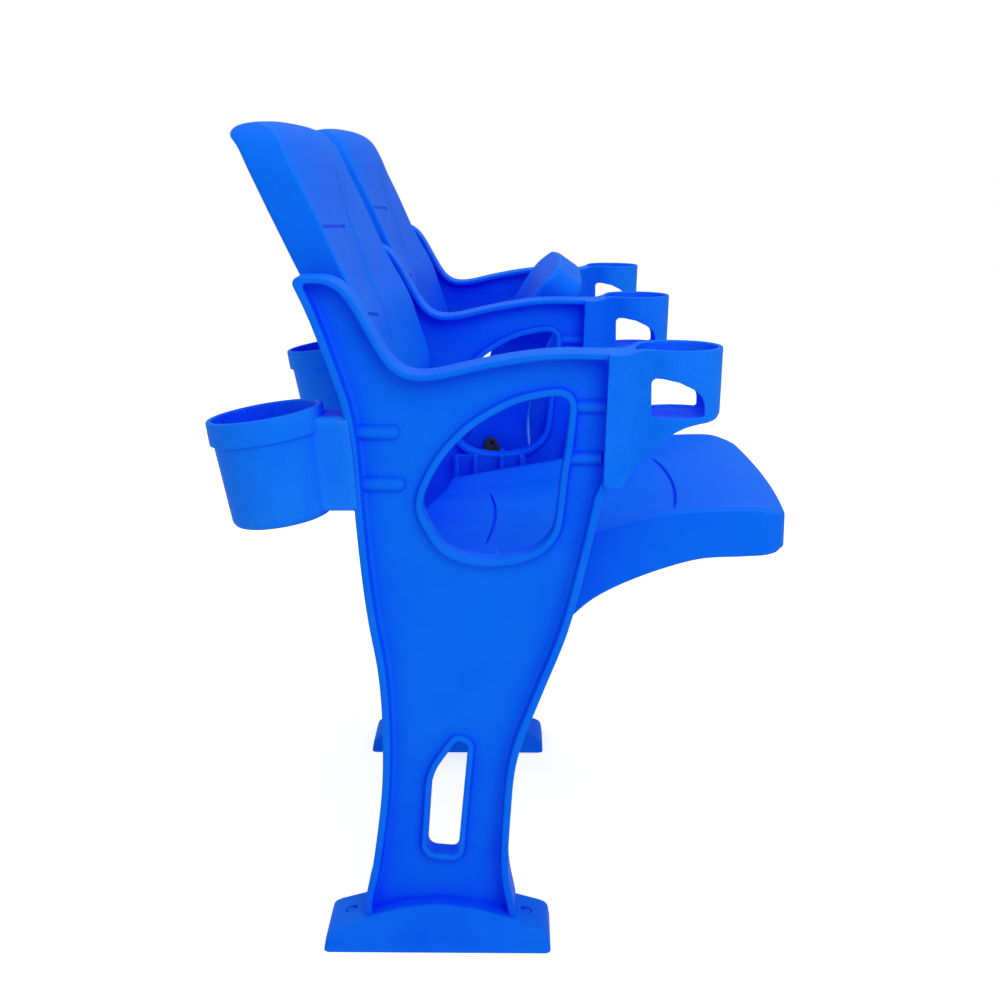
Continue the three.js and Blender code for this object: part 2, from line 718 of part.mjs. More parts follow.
// One corner of the back's front or rear surface. Inset moves every face inwards, and the ends twice
// as far, because the upper lip is thin and slanted.
function backCorner(row, spot, surface, inset) {
  const endInset = 2 * inset;
  const z = THREE.MathUtils.lerp(backBottom + endInset, backTop - endInset, row);
  const at = (z - backBottom) / (backTop - backBottom);
  const corner = cornerCut(z, backTop - backCornerRadius, backCornerRadius - inset);
  const y = spot * (backWidth / 2 - inset - corner);
  const places = mirrored(backColumnShares);
  const dishAcross = mirrored(backDishColumnShares).map(Math.abs);
  const across = between(places.map((share, i) => [share, dishAcross[i]]), spot);
  const dish = backDishDepth * between(backDishShares, at) * across;
  const front = backFrontX - backDepth * between(backShares, at) + dish - inset;
  const rear = backFrontX - backDepth * between(backShares, at, 2) + inset;
  return new THREE.Vector3(surface(front, rear), y, z);
}

function backBlock(inset, foremost, rearmost) {
  return blockBetween(
    backRowShares,
    mirrored(backColumnShares),
    (row, spot) => backCorner(row, spot, rearmost, inset),
    (row, spot) => backCorner(row, spot, foremost, inset),
  );
}

// The hollow back, split at its parting line into the front shell and the rear cover.
function makeBack() {
  const foremost = (front) => front;
  const rearmost = (front, rear) => rear;
  const parting = (gap) => (front, rear) => THREE.MathUtils.lerp(rear, front, backPartingShare) + gap;
  const behind = (front, rear) => rear - cutOverrun;
  const skin = backBlock(0, foremost, rearmost).subtract(backBlock(backWall, foremost, rearmost));
  const shell = skin.subtract(backBlock(-cutOverrun, parting(fitClearance / 2), behind));
  const cover = skin.intersect(backBlock(-cutOverrun, parting(-fitClearance / 2), behind));
  return { shell, cover };
}

// Back brackets and seat hinges, on the side of a standard that faces a seat

const webFace = webWall / 2 + fitClearance;
const housingFace = webFace + housingWall + housingRibHeight;
const armFace = seatSideGap - fitClearance - armThickness;

// A plate that lies between two distances from the standard's centre, on one side of it.
function sidePlate(outline, side, from, to) {
  return plate(outline, to - from, (side * (from + to)) / 2);
}

function sideBar(side, x, z, from, to, radius, sides = boreSides) {
  const start = side > 0 ? from : -to;
  return roundBar("y", new THREE.Vector3(x, start, z), to - from, radius, sides);
}

function makeBracket(side) {
  const outline = anticlockwise(rounded(bracketShares.map(onStandard), bracketCornerRadius));
  return sidePlate(outline, side, webFace, backSideGap - fitClearance);
}

function stopSpot(angle, away) {
  const turn = THREE.MathUtils.degToRad(angle);
  const halfArm = THREE.MathUtils.lerp(armPivotRadius, armTipRadius, stopDistance / armLength);
  const offset = away * (halfArm + stopRadius + 2 * fitClearance);
  return new THREE.Vector2(
    pivotX + stopDistance * Math.cos(turn) - offset * Math.sin(turn),
    pivotZ + stopDistance * Math.sin(turn) + offset * Math.cos(turn),
  );
}

function makeHousing(side) {
  const corners = [
    new THREE.Vector2(housingRear, housingBottom),
    new THREE.Vector2(housingRear + housingLength, housingBottom),
    new THREE.Vector2(housingRear + housingLength, housingTop),
    new THREE.Vector2(housingRear, housingTop),
  ];
  const ribTop = webFace + housingWall + housingRibHeight;
  let solid = sidePlate(rounded(corners, stopRadius), side, webFace, webFace + housingWall);
  for (const share of housingRibShares) {
    const x = housingRear + share * housingLength;
    const half = housingRibWidth / 2;
    const rib = [
      new THREE.Vector2(x - half, housingBottom + housingRibWidth),
      new THREE.Vector2(x + half, housingBottom + housingRibWidth),
      new THREE.Vector2(x + half, housingTop),
      new THREE.Vector2(x - half, housingTop),
    ];
    solid = solid.add(sidePlate(rib, side, webFace, ribTop));
  }
  solid = solid.add(sideBar(side, pivotX, pivotZ, webFace, ribTop, housingBossRadius, bossSides));
  for (const stop of [stopSpot(armAngle, -1), stopSpot(armAngle + tipAngle, 1)]) {
    solid = solid.add(sideBar(side, stop.x, stop.y, webFace, armFace + armThickness, stopRadius));
  }
  const pinBore = boreRadius(pinDiameter / 2 + boreClearance);
  const boreStart = ribTop - pinEmbed - fitClearance;
  return solid.subtract(sideBar(side, pivotX, pivotZ, boreStart, ribTop + cutOverrun, pinBore));
}

function makePin(side) {
  const end = armFace + armThickness;
  return sideBar(side, pivotX, pivotZ, housingFace - pinEmbed, end, pinDiameter / 2, bossSides);
}

// The arm that carries the seat: a plate with round ends, from the pivot to its bolt.
function makeSeatArm(side) {
  const turn = THREE.MathUtils.degToRad(armAngle);
  const lean = Math.acos((armPivotRadius - armTipRadius) / armLength);
  const tip = new THREE.Vector2(
    pivotX + armLength * Math.cos(turn),
    pivotZ + armLength * Math.sin(turn),
  );
  const round = (x, z, radius, from, to) =>
    new THREE.EllipseCurve(x, z, radius, radius, from, to).getPoints(armEndSides);
  const outline = [
    ...round(tip.x, tip.y, armTipRadius, turn - lean, turn + lean),
    ...round(pivotX, pivotZ, armPivotRadius, turn + lean, turn - lean + 2 * Math.PI),
  ];
  const far = armFace + armThickness;
  const solid = sidePlate(outline, side, armFace, far);
  const pinBore = boreRadius(pinDiameter / 2 + boreClearance);
  const bore = sideBar(side, pivotX, pivotZ, armFace - cutOverrun, far + cutOverrun, pinBore);
  const hole = sideBar(side, tip.x, tip.y, armFace - cutOverrun, far + cutOverrun, armHoleDiameter / 2);
  return solid.subtract(bore).subtract(hole);
}

// The wire of a coil spring round the pin, from the housing to the seat's arm.
class SpringWire extends THREE.Curve {
  constructor(side, from, to) {
    super();
    Object.assign(this, { side, from, to });
  }

  getPoint(t) {
    const turn = t * springTurns * 2 * Math.PI;
    const radius = springMeanDiameter / 2;
    const y = this.side * THREE.MathUtils.lerp(this.from, this.to, t);
    return new THREE.Vector3(pivotX + radius * Math.cos(turn), y, pivotZ + radius * Math.sin(turn));
  }
}

function makeSpring(side) {
  const inset = springWire / 2 + fitClearance;
  const path = new SpringWire(side, housingFace + inset, armFace - inset);
  const ring = new THREE.EllipseCurve(0, 0, springWire / 2, springWire / 2);
  const section = new THREE.Shape(ring.getPoints(springSides).slice(0, springSides));
  const settings = { steps: springTurns * springStepsPerTurn, extrudePath: path, bevelEnabled: false };
  return toSolid(new THREE.ExtrudeGeometry(section, settings));
}

// The row

const row = new THREE.Group();
const assembly = new THREE.Group();
row.add(assembly);

const standardPlaces = { near: -seatPitch, middle: 0, far: seatPitch };
const seatPlaces = { near: -seatPitch / 2, far: seatPitch / 2 };

function addAt(parent, y, ...meshes) {
  for (const mesh of meshes) {
    mesh.position.y += y;
    parent.add(mesh);
  }
}

function addStandards() {
  const standard = makeStandard();
  const foot = makeFoot();
  const armrest = makeArmrest();
  const rearCup = makeRearCup();
  const anchor = makeAnchorBolt();
  const armrestScrew = fastener(
    armrestScrewDiameter, armrestScrewLength, armrestScrewHeadDiameter, armrestScrewHeadHeight,
  ).rotate([0, 90, 0]);
  const rearScrew = fastener(
    rearScrewDiameter, rearScrewLength, rearScrewHeadDiameter, rearScrewHeadHeight,
  ).rotate([0, 90, 0]);
  for (const [place, y] of Object.entries(standardPlaces)) {
    addAt(
      assembly,
      y,
      named(`${place}_standard`, standard, bluePlastic),
      named(`${place}_foot`, foot, bluePlastic),
      named(`${place}_armrest`, armrest, paleBluePlastic),
      named(`${place}_rear_cup`, rearCup, paleBluePlastic),
    );
    anchorSpots().forEach((spot, i) => {
      const bolt = named(`${place}_${["rear", "front"][i]}_anchor_bolt`, anchor, bluePlastic);
      bolt.position.copy(spot);
      addAt(assembly, y, bolt);
    });
    const screwSets = [
      ["armrest", armrestScrew, frontScrewShares],
      ["rear_cup", rearScrew, rearScrewShares],
    ];
    for (const [piece, screw, spots] of screwSets) {
      spots.forEach((shares, i) => {
        const seat = onStandard(shares);
        const mesh = named(`${place}_${["upper", "lower"][i]}_${piece}_screw`, screw, steel);
        mesh.position.set(seat.x, 0, seat.y);
        addAt(assembly, y, mesh);
      });
    }
  }
}

// A group that turns its contents about the seat pivot, tipping the seat up by this angle.
function tippedGroup(angle) {
  const hinge = new THREE.Group();
  const contents = new THREE.Group();
  hinge.position.set(pivotX, 0, pivotZ);
  hinge.rotation.y = -THREE.MathUtils.degToRad(angle);
  contents.position.set(-pivotX, 0, -pivotZ);
  hinge.add(contents);
  assembly.add(hinge);
  return contents;
}

function addSeats() {
  const { shell, base } = makeSeat();
  const { shell: backShell, cover } = makeBack();
  const tips = { near: 0, far: tipAngle };
  const sides = { right: 1, left: -1 };
  for (const [place, y] of Object.entries(seatPlaces)) {
    const moving = tippedGroup(tips[place]);
    addAt(
      moving,
      y,
      named(`${place}_seat_shell`, shell, bluePlastic),
      named(`${place}_seat_base`, base, bluePlastic),
    );
    addAt(
      assembly,
      y,
      named(`${place}_back_shell`, backShell, bluePlastic),
      named(`${place}_back_cover`, cover, bluePlastic),
    );
    for (const [hand, side] of Object.entries(sides)) {
      const standardY = y - (side * seatPitch) / 2;
      addAt(moving, standardY, named(`${place}_seat_${hand}_arm`, makeSeatArm(side), blackPlastic));
      addAt(
        assembly,
        standardY,
        named(`${place}_seat_${hand}_hinge_housing`, makeHousing(side), bluePlastic),
        named(`${place}_seat_${hand}_hinge_pin`, makePin(side), steel),
        named(`${place}_seat_${hand}_spring`, makeSpring(side), steel),
        named(`${place}_back_${hand}_bracket`, makeBracket(side), bluePlastic),
      );
    }
  }
}

addStandards();
addSeats();

// The origin is on the floor, under the middle of the whole row.
const extent = new THREE.Box3().setFromObject(assembly);
assembly.position.x = -(extent.min.x + extent.max.x) / 2;

export default row;
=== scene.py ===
"""Two tip-up stadium seats between three cast standards, in bright blue with black plates at the hinges."""

import math

import bmesh
import bpy
import numpy as np
from mathutils import Matrix, Vector
from mathutils.geometry import convex_hull_2d, tessellate_polygon


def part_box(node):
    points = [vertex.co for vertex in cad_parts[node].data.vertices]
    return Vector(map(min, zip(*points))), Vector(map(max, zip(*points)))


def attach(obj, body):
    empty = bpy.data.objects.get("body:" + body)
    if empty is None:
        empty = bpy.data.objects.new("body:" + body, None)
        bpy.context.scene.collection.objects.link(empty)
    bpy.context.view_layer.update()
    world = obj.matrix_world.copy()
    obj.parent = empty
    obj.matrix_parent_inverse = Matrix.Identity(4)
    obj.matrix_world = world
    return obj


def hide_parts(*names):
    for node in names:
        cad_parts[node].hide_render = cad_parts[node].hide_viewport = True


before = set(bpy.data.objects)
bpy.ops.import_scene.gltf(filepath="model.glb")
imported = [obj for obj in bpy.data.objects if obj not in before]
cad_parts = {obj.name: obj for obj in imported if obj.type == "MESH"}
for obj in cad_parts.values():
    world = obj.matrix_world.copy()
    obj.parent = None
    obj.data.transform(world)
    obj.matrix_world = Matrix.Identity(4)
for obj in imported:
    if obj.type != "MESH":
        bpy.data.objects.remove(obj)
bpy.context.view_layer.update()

MM = 0.001

# Places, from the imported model
STANDARD_LOW, STANDARD_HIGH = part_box("near_standard")
REAR_X = STANDARD_LOW.x
STANDARD_DEPTH = 0.311
STANDARD_HEIGHT = STANDARD_HIGH.z
PLACES = ("near", "middle", "far")
SEATS = ("near", "far")
HANDS = {"right": 1, "left": -1}


def middle_y(node):
    low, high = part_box(node)
    return (low.y + high.y) / 2


STANDARD_Y = {place: middle_y(f"{place}_standard") for place in PLACES}
SEAT_Y = {seat: middle_y(f"{seat}_seat_shell") for seat in SEATS}
SEAT_SIDE_STANDARD = {
    ("near", "right"): "near",
    ("near", "left"): "middle",
    ("far", "right"): "middle",
    ("far", "left"): "far",
}

# Shared by several parts, in metres
FILLET_STEPS = 8
LEAST_RADIUS = 0.0002
CURVE_STEP = 0.002
FIT_GAP = 0.0003
CUTTER_OVERSHOOT = 0.001
# A soft edge's section: how far in and how far along each point is, against the bevel
SOFT_EDGE_SHARES = [(1, 0), (0.62, 0.08), (0.29, 0.29), (0.08, 0.62), (0, 1)]

# Standards
FLANGE_HALF = 0.025
POCKET_INSET = 0.011
OUTLINE_STEP = 0.004
OUTLINE_ROUNDS = 14
WINDOW_STEP = 0.003
WINDOW_ROUNDS = 6
# How far the lines stop short of the corners: sole to front, front to top, top to rear and rear to sole
STANDARD_CUTS = [0.014, 0.023, 0.026, 0.014]
# Radius of the corner after the front, top, rear and sole: on the outline, and on the pocket's edge
STANDARD_CORNERS = [(0.0015, 0.008), (0.0065, 0.0025), (0.002, 0.002), (0.002, 0.002)]
# For the front, top, rear and sole: heights, and the flange's share of the full wall there
WALL_TABLES = [((0.492, 0.512), (1.15, 0.24)), ((0,), (0.9,)), ((0,), (1.15,)), ((0,), (1,))]

# Shares of the standard's depth and height
FRONT_EDGE_SHARES = [
    (0.708, 0.03), (0.703, 0.052), (0.692, 0.075), (0.68, 0.1), (0.676, 0.133), (0.685, 0.208),
    (0.707, 0.298), (0.788, 0.397), (0.873, 0.494), (0.935, 0.601), (0.974, 0.68), (0.985, 0.711),
    (1, 0.895),
]
ARM_TOP_SHARES = [
    (1, 0.895), (0.823, 0.896), (0.685, 0.889), (0.543, 0.877), (0.437, 0.866), (0.36, 0.865),
    (0.309, 0.878), (0.254, 0.917), (0.199, 0.961), (0.164, 0.983), (0.12, 0.998), (0.074, 1), (-0.013, 1),
]
REAR_EDGE_SHARES = [
    (-0.013, 1), (0.048, 0.941), (0.112, 0.862), (0.148, 0.812), (0.167, 0.749), (0.177, 0.676),
    (0.195, 0.579), (0.215, 0.506), (0.243, 0.433), (0.254, 0.358), (0.251, 0.26), (0.228, 0.169),
    (0.199, 0.092), (0.183, 0.076), (0.183, 0.03),
]
SOLE_SHARES = [(0.183, 0.03), (0.701, 0.03)]
WINDOW_SHARES = [
    (0.518, 0.771), (0.579, 0.794), (0.691, 0.821), (0.788, 0.832), (0.852, 0.834), (0.87, 0.826),
    (0.873, 0.818), (0.86, 0.758), (0.847, 0.726), (0.83, 0.656), (0.813, 0.632), (0.76, 0.61),
    (0.672, 0.5985), (0.566, 0.5985), (0.475, 0.612), (0.423, 0.643), (0.397, 0.669), (0.4, 0.689),
    (0.428, 0.718), (0.469, 0.747),
]
LEG_OPENING_SHARES = [(0.505, 0.319), (0.421, 0.267), (0.4, 0.141), (0.5, 0.137), (0.537, 0.312)]
LEG_OPENING_RADII = [0.005, 0.06, 0.009, 0.006, 0.005]
# The leg opening's rim has this share of the window's rim section, moved outwards
LEG_RIM_SHARE = 0.9
LEG_RIM_SHIFT = 0.001
FRONT_SCREW_SHARES = [(0.888, 0.822), (0.875, 0.749)]
FRONT_BOSS_SHARES = [(0.888, 0.8175), (0.875, 0.7435)]
REAR_SCREW_SHARES = [(0.096, 0.78), (0.106, 0.705)]
REAR_BOSS_SHARES = [(0.331, 0.78), (0.347, 0.705)]
# How far ahead of its screw's seat each boss is, and its half height and half width
FRONT_BOSS_REACH = (0.001, 0.031)
FRONT_BOSS_HALF = (0.0082, 0.0108)
REAR_BOSS_START = 0.024
REAR_BOSS_HALF = (0.009, 0.0112)
BOSS_END = 0.001
# A dome's length against its half height, and the section's share that is left at its tip
BOSS_DOME = 1.15
BOSS_TIP = 0.02

# In millimetres: how far in from the outline, and how far from the standard's middle plane
FLANGE_SECTION = [
    (11.6, 5), (11, 5), (9.8, 5.25), (8.4, 6.2), (7.6, 7.8), (7.2, 12), (7.1, 21), (6.8, 23.2), (6.2, 24.5),
    (5.3, 24.95), (4.5, 25), (2, 25), (1.1, 24.8), (0.45, 24.2), (0.1, 23.2), (0, 21), (0, 10),
]
# In millimetres: how far out from the opening, and how far from the standard's middle plane
RIM_SECTION = [
    (13.2, 5), (12.6, 5), (11.2, 5.15), (9.4, 6), (8.2, 8), (7.6, 11), (7.3, 12.6), (6.6, 13.6), (5.4, 14),
    (1.9, 14), (0.7, 13.5), (0, 12.3), (0, 6),
]

# Armrests
ARMREST_REACH = 0.116
ARMREST_HEIGHT = 0.14
ARMREST_BOTTOM = 0.503
ARMREST_HALF = 0.03
CUP_REACH = 0.0707
CUP_TOP_RADIUS = 0.046
CUP_BASE_RADIUS = 0.0443
CUP_WELL_TOP = 0.0412
CUP_WELL_BASE = 0.0385
CUP_FLOOR = 0.574
CUP_WELL_ROUND = 0.003
CUP_WINDOW_RADIUS = 0.0025
# How far the armrest laps over the standard at its top, at its heel and along the flange
ARMREST_TOP_LAP = 0.0042
ARMREST_HEEL_LAP = 0.004
ARMREST_FLANGE_LAP = 0.0012
ARMREST_CHEEK_GAP = 0.0004
ARMREST_NOSE_RADIUS = 0.005
ARMREST_HEEL_RADIUS = 0.004
# Heights, and how wide the cup is there against its top
ARMREST_TAPER = [
    (0.48, CUP_BASE_RADIUS / CUP_TOP_RADIUS - 0.03),
    (CUP_FLOOR, CUP_BASE_RADIUS / CUP_TOP_RADIUS),
    (0.66, 1.003),
]
ARMREST_VOXEL = 0.0011
ARMREST_SMOOTHING = 5
ARMREST_BLANK_HALF = 0.06
WINDOW_CUTTER_HALF = 0.07
WELL_CUTTER_TOP = 0.7
ARMREST_SHARES = [
    (0.054, 0.957), (0.148, 0.957), (0.243, 0.975), (0.339, 1), (1, 1), (0.983, 0.53), (0.94, 0.497),
    (0.87, 0.485), (0.73, 0.472), (0.6, 0.434), (0.47, 0.357), (0.357, 0.279), (0.261, 0.171),
    (0.183, 0.064), (0.139, 0.007), (0.017, 0.007), (0.004, 0.03),
]
NECK_SHARES = [(-0.1, 1), (0.06, 1), (0.2, 1.03), (0.34, 1.2)]
CUP_JOIN = math.radians(122)
CUP_WINDOW_SHARES = [
    (0.379, 0.527), (0.374, 0.775), (0.4, 0.8), (0.47, 0.8), (0.6, 0.778), (0.724, 0.728),
    (0.8, 0.67), (0.826, 0.6), (0.826, 0.527),
]

# Rear cups
REAR_CUP_TILT = math.radians(8.8)
REAR_CUP_REACH = 0.066
REAR_CUP_TOP_Z = 0.576
# In millimetres: the cup's section from outside to inside, as radii and heights, and its corner radii
REAR_CUP_PROFILE = [
    (0, -112), (51.5, -112), (55.7, -25), (59.5, -25), (59.5, 0), (53.5, 0), (45.5, -106), (0, -106),
]
REAR_CUP_RADII = [0, 9, 1.2, 1.6, 2.4, 2.6, 6, 0]
REAR_BRACKET_TOP = 0.574
REAR_BRACKET_BOTTOM = 0.478
REAR_BRACKET_HALF = 0.026
REAR_BRACKET_RADIUS = 0.005
REAR_BRACKET_LAP = 0.0035
REAR_NOTCH_GAP = 0.00005
# Heights along the cup, and the radius of the middle of its wall there
REAR_WALL_TABLE = ((-0.112, 0), (0.0485, 0.0555))
REAR_WALL_SEARCH = np.arange(0.12, -0.02, -0.0005)
REAR_BORE = [(0, 0), (6.9, 0), (6.9, 20), (0, 20)]

# Feet
FOOT_LENGTH = 0.2421
FOOT_HALF = 0.045
FOOT_TOP_HALF = 0.028
FOOT_HEIGHT = 0.046
FOOT_REAR = REAR_X + REAR_EDGE_SHARES[-1][0] * STANDARD_DEPTH - 0.043
FOOT_SHARES = [
    (0, 0), (0.01, 0.34), (0.045, 0.45), (0.16, 0.67), (0.32, 0.9), (0.5, 1), (0.68, 0.9), (0.84, 0.67),
    (0.955, 0.45), (0.99, 0.34), (1, 0),
]
FOOT_RADII = [0.002, 0.009, 0.009, 0.08, 0.15, 0.15, 0.15, 0.08, 0.009, 0.009, 0.002]
FOOT_END_ROUND = 0.007
FOOT_EDGE_RADIUS = 0.0045
FOOT_EDGE_SHARE = 0.45
FOOT_CROWN = 0.0008
# The foot's sides lean so that they would reach the top's width this far below the top
FOOT_SHOULDER_DROP = 0.008
FOOT_SIDE_SLOPE = (FOOT_HALF - FOOT_TOP_HALF) / (FOOT_HEIGHT - FOOT_SHOULDER_DROP)
# Below these heights the foot's edge is sharp, and its crown fades out
FOOT_SHARP_HEIGHT = 0.001
FOOT_CROWN_HEIGHT = 0.03
ANCHOR_INSET = 0.026
ANCHOR_X = {"rear": FOOT_REAR + ANCHOR_INSET, "front": FOOT_REAR + FOOT_LENGTH - ANCHOR_INSET}
ANCHOR_SEAT = 0.012
# Radii and heights from the bolt's seat, in millimetres
ANCHOR_RECESS = [(0, 0), (6.2, 0), (6.3, 12), (6.7, 15), (7, 40), (0, 40)]
ANCHOR_HEAD = [(4.6, 1.6), (5.3, 1.9), (5.3, 13.2), (4.6, 13.9)]
ANCHOR_WASHER = [(0, 0), (5.7, 0), (6, 0.3), (6, 1.3), (5.7, 1.6), (0, 1.6)]
ANCHOR_SHANK = [(0, -11), (3.2, -11), (4, -10), (4, 1), (0, 1)]

# Seats
PIVOT_X = REAR_X + 0.5886 * STANDARD_DEPTH
PIVOT_Z = 0.341
TIP_ANGLE = math.radians(55)
SEAT_HALF = 0.215
SEAT_NOSE = 0.333
SEAT_REAR = 0.085
SEAT_TAPER = 0.033
SEAT_FLAT = 0.07
SEAT_BOW = 0.012
SEAT_CORNER = 0.03
SEAT_RISE = 0.124
SEAT_DROP = 0.041
SEAT_DISH = 0.02
SEAT_BORDER = 0.0115
SEAT_TOP_SHARES = [
    (-0.4, 0.441), (-0.255, 0.45), (-0.156, 0.494), (0.069, 0.605), (0.3, 0.718), (0.375, 0.798),
    (0.532, 0.919), (0.634, 0.96), (0.844, 0.984), (0.934, 0.944), (1, 0.895),
]
SEAT_UNDERSIDE_SHARES = [
    (-0.4, -0.195), (-0.192, -0.639), (-0.036, -1), (0.108, -0.829), (0.198, -0.5), (0.267, -0.098),
    (0.345, 0.463), (0.438, 0.895), (0.565, 1.312), (0.694, 1.605), (0.82, 1.671), (0.943, 1.724), (1, 1.8),
]
SEAT_DISH_SHARES = [
    (-0.4, 0.1), (-0.157, 0.4), (0.014, 0.6), (0.317, 0.85), (0.55, 0.92), (0.7, 0.6), (0.85, 0.2),
    (0.95, 0), (1, 0),
]
SEAT_PARTING_SHARE = 0.45
SEAT_TOP_ROUND = 0.0048
SEAT_UNDER_ROUND = 0.004
SEAT_REAR_CORNER = 0.012
# The distance to the slanting rear edge against the distance along x
SEAT_REAR_SLANT = 0.97
SEAT_DISH_RUN = 0.06
SEAT_DISH_POWER = 2.4
SEAT_ROWS = 104
SEAT_NOSE_STEPS = [0.0105, 0.009, 0.0075]
SEAT_NOSE_BORDER = 0.012
SEAT_BORDER_STEPS = np.array([0, 0.0005, -0.0008])
# Each curved groove's reach from the pivot and its half length
SEAT_ARCS = [(0.220, 0.143), (0.009, 0.13)]
SEAT_ARC_BOW = 0.0095
SEAT_ARC_BOW_HALF = 0.135
SEAT_ARC_SIZE = (0.0019, 0.0036)
SEAT_CREASE_SIZE = (0.0009, 0.0017)
SEAT_CREASE_REACH = (-0.03, 0.268)
SEAT_CREASE_TAPERS = (0.02, 0.05)
# How fast a groove's width and depth grow from its ends, and the least of each
SEAT_GROOVE_GROWTH = (1.5, 1.6)
SEAT_GROOVE_LEAST = (0.00005, 0.00002)

# Backs
BACK_HALF = 0.23
BACK_BOTTOM = 0.349
BACK_TOP = 0.863
BACK_DEPTH = 0.172
BACK_DISH = 0.016
BACK_CORNER = 0.056
BACK_CROWN = 0.0065
BACK_X = REAR_X + 0.328 * STANDARD_DEPTH
BACK_SHARES = [
    (0, 0.17, 0.24), (0.07, 0.155, 0.275), (0.177, 0.135, 0.285), (0.294, 0.045, 0.28),
    (0.389, 0, 0.28), (0.436, 0.01, 0.289), (0.514, 0.083, 0.36), (0.59, 0.164, 0.442),
    (0.695, 0.335, 0.6), (0.815, 0.495, 0.767), (0.94, 0.674, 0.935), (0.975, 0.738, 1.01),
    (0.992, 0.79, 1), (1, 0.86, 0.95),
]
BACK_DISH_SHARES = [
    (0, 0), (0.177, -0.5), (0.389, -1), (0.52, -1), (0.6, -0.75), (0.65, -0.62), (0.705, -0.24),
    (0.76, -0.05), (0.81, 0.12), (0.86, 0.48), (0.916, 0.87), (0.97, 0.75), (1, -0.15),
]
BACK_ACROSS_SHARES = [(0, 1), (0.2, 0.98), (0.45, 0.85), (0.8, 0.4), (1, 0)]
BACK_FRONT_ROUND = 0.0035
BACK_REAR_ROUND = 0.0045
BACK_FOOT_CORNER = 0.008
# The crown fades out down to this height
BACK_CROWN_START = 0.7
BACK_GROOVE_REACH = (0.6, 0.822)
BACK_GROOVE_TAPER = 0.02
BACK_GROOVE_LEAST = 0.02
BACK_GROOVE_SIZE = (0.0022, 0.005)
# The outer and the inner end of each cross groove
BACK_SLOTS = [((-0.224, 0.7565), (-0.057, 0.7485)), ((-0.224, 0.669), (-0.068, 0.6515))]
BACK_SLOT_SIZE = (0.002, 0.0018)
BACK_SLOT_END = 0.0025
BACK_SLOT_CLEAR = 0.008
BACK_SLOT_LEAST = 0.002
BACK_COLUMNS = 48
BACK_GRID_BORDER = 0.01

# Seats and backs: the half gap at the parting line, the distances in from the outline, and the grid
PARTING_GAP = 0.00002
EDGE_STEPS = np.array([0, 0.1, 0.4, 0.9, 1.6, 2.5, 3.6, 5, 7]) * MM
CORNER_ANGLES = np.radians(np.arange(0, 90.1, 6))
GRID_STEP = 0.0045
# Groove cutters: the shares of the half width at the mouth and at the floor, and how far they stand out
SEAT_CUTTER = (1.3, 0.3, 0.0016)
BACK_CUTTER = (1.15, 0.75, 0.002)
GROOVE_MARGIN = 0.002
# How far in the painted edge highlight is strongest, how far that fades out, and how much stays clear at
# side and parting
HIGHLIGHT_PLACE = 0.0015
HIGHLIGHT_REACH = 0.004
HIGHLIGHT_SIDE = 0.0003
HIGHLIGHT_PARTING = 0.0008

# Hinges and brackets. Faces, ends and sides are distances from the standard's middle plane
WEB_FACE = 0.0053
HOUSING_WALL = 0.013
HOUSING_RIB = 0.009
HOUSING_FACE = WEB_FACE + HOUSING_WALL + HOUSING_RIB
HOUSING_PLATE_FACE = 0.0138
HOUSING_REAR = REAR_X + 0.415 * STANDARD_DEPTH
HOUSING_LENGTH = 0.328 * STANDARD_DEPTH
HOUSING_HEIGHTS = (0.312, 0.425)
HOUSING_CORNER = 0.005
HOUSING_RIB_HEIGHTS = (0.318, 0.4255)
HOUSING_RIB_CORNER = 0.0015
HOUSING_RIB_HALF = 0.003
HOUSING_RIB_SHARES = (0.07, 0.32, 0.67, 0.94)
HOUSING_BOSS_RADIUS = 0.024
HOUSING_LAP = 0.001
PLATE_BEVEL = 0.0012
BOSS_BEVEL = 0.0014
ARM_BEVEL = 0.0009
SMALL_BEVEL = 0.001
PIN_RADIUS = 0.00999
PIN_BORE_RADIUS = 0.0103
PIN_OVERLAP = 0.015
SPRING_TURNS = 3.5
SPRING_RADIUS = 0.0145
SPRING_WIRE_RADIUS = 0.0015
SPRING_INSET = 0.0018
SEAT_SIDE_Y = 0.055
BACK_SIDE_Y = 0.04
BRACKET_SHARES = [(0.19, 0.803), (0.28, 0.803), (0.203, 0.91), (0.113, 0.91)]
BRACKET_RADIUS = 0.006
ARM_THICKNESS = 0.006
ARM_FACE = SEAT_SIDE_Y - FIT_GAP - ARM_THICKNESS
ARM_END = ARM_FACE + ARM_THICKNESS
ARM_ANGLE = math.radians(34)
ARM_LENGTH = 0.083
ARM_PIVOT_RADIUS = 0.024
ARM_TIP_RADIUS = 0.013
STOP_DISTANCE = 0.037
STOP_RADIUS = 0.005
STOP_GAP = 0.0006
# The black plate's tip against the plain arm's tip, and its lower lobe and hole against its own tip
PLATE_TIP_SHIFT = (0.0015, 0.005)
PLATE_TIP_RADIUS = 0.009
PLATE_LOBE_SHIFT = (-0.0082, -0.0196)
PLATE_LOBE_RADIUS = 0.006
PLATE_HOLE_SHIFT = (0.001, -0.001)
PLATE_HOLE_RADIUS = 0.0026

# Screws: shank diameter, length under the head, head diameter, head height and socket width
ARMREST_SCREW = (0.006, 0.05, 0.01, 0.0046, 0.005)
REAR_CUP_SCREW = (0.008, 0.052, 0.013, 0.008, 0.006)
SCREW_EDGES = [0, 0.0006, 0.0003, 0.0003, 0.0007, 0]
SOCKET_DEPTH_SHARE = 0.55

# Floor, light and camera
FLOOR_RADIUS = 9.0
FLOOR_DROP = 0.0002
FLOOR_GREY = 0.9
FLOOR_GLOW = 0.55
WORLD_LEVEL = 0.56
LIGHT_TARGET = Vector((0.0, 0.0, 0.4))
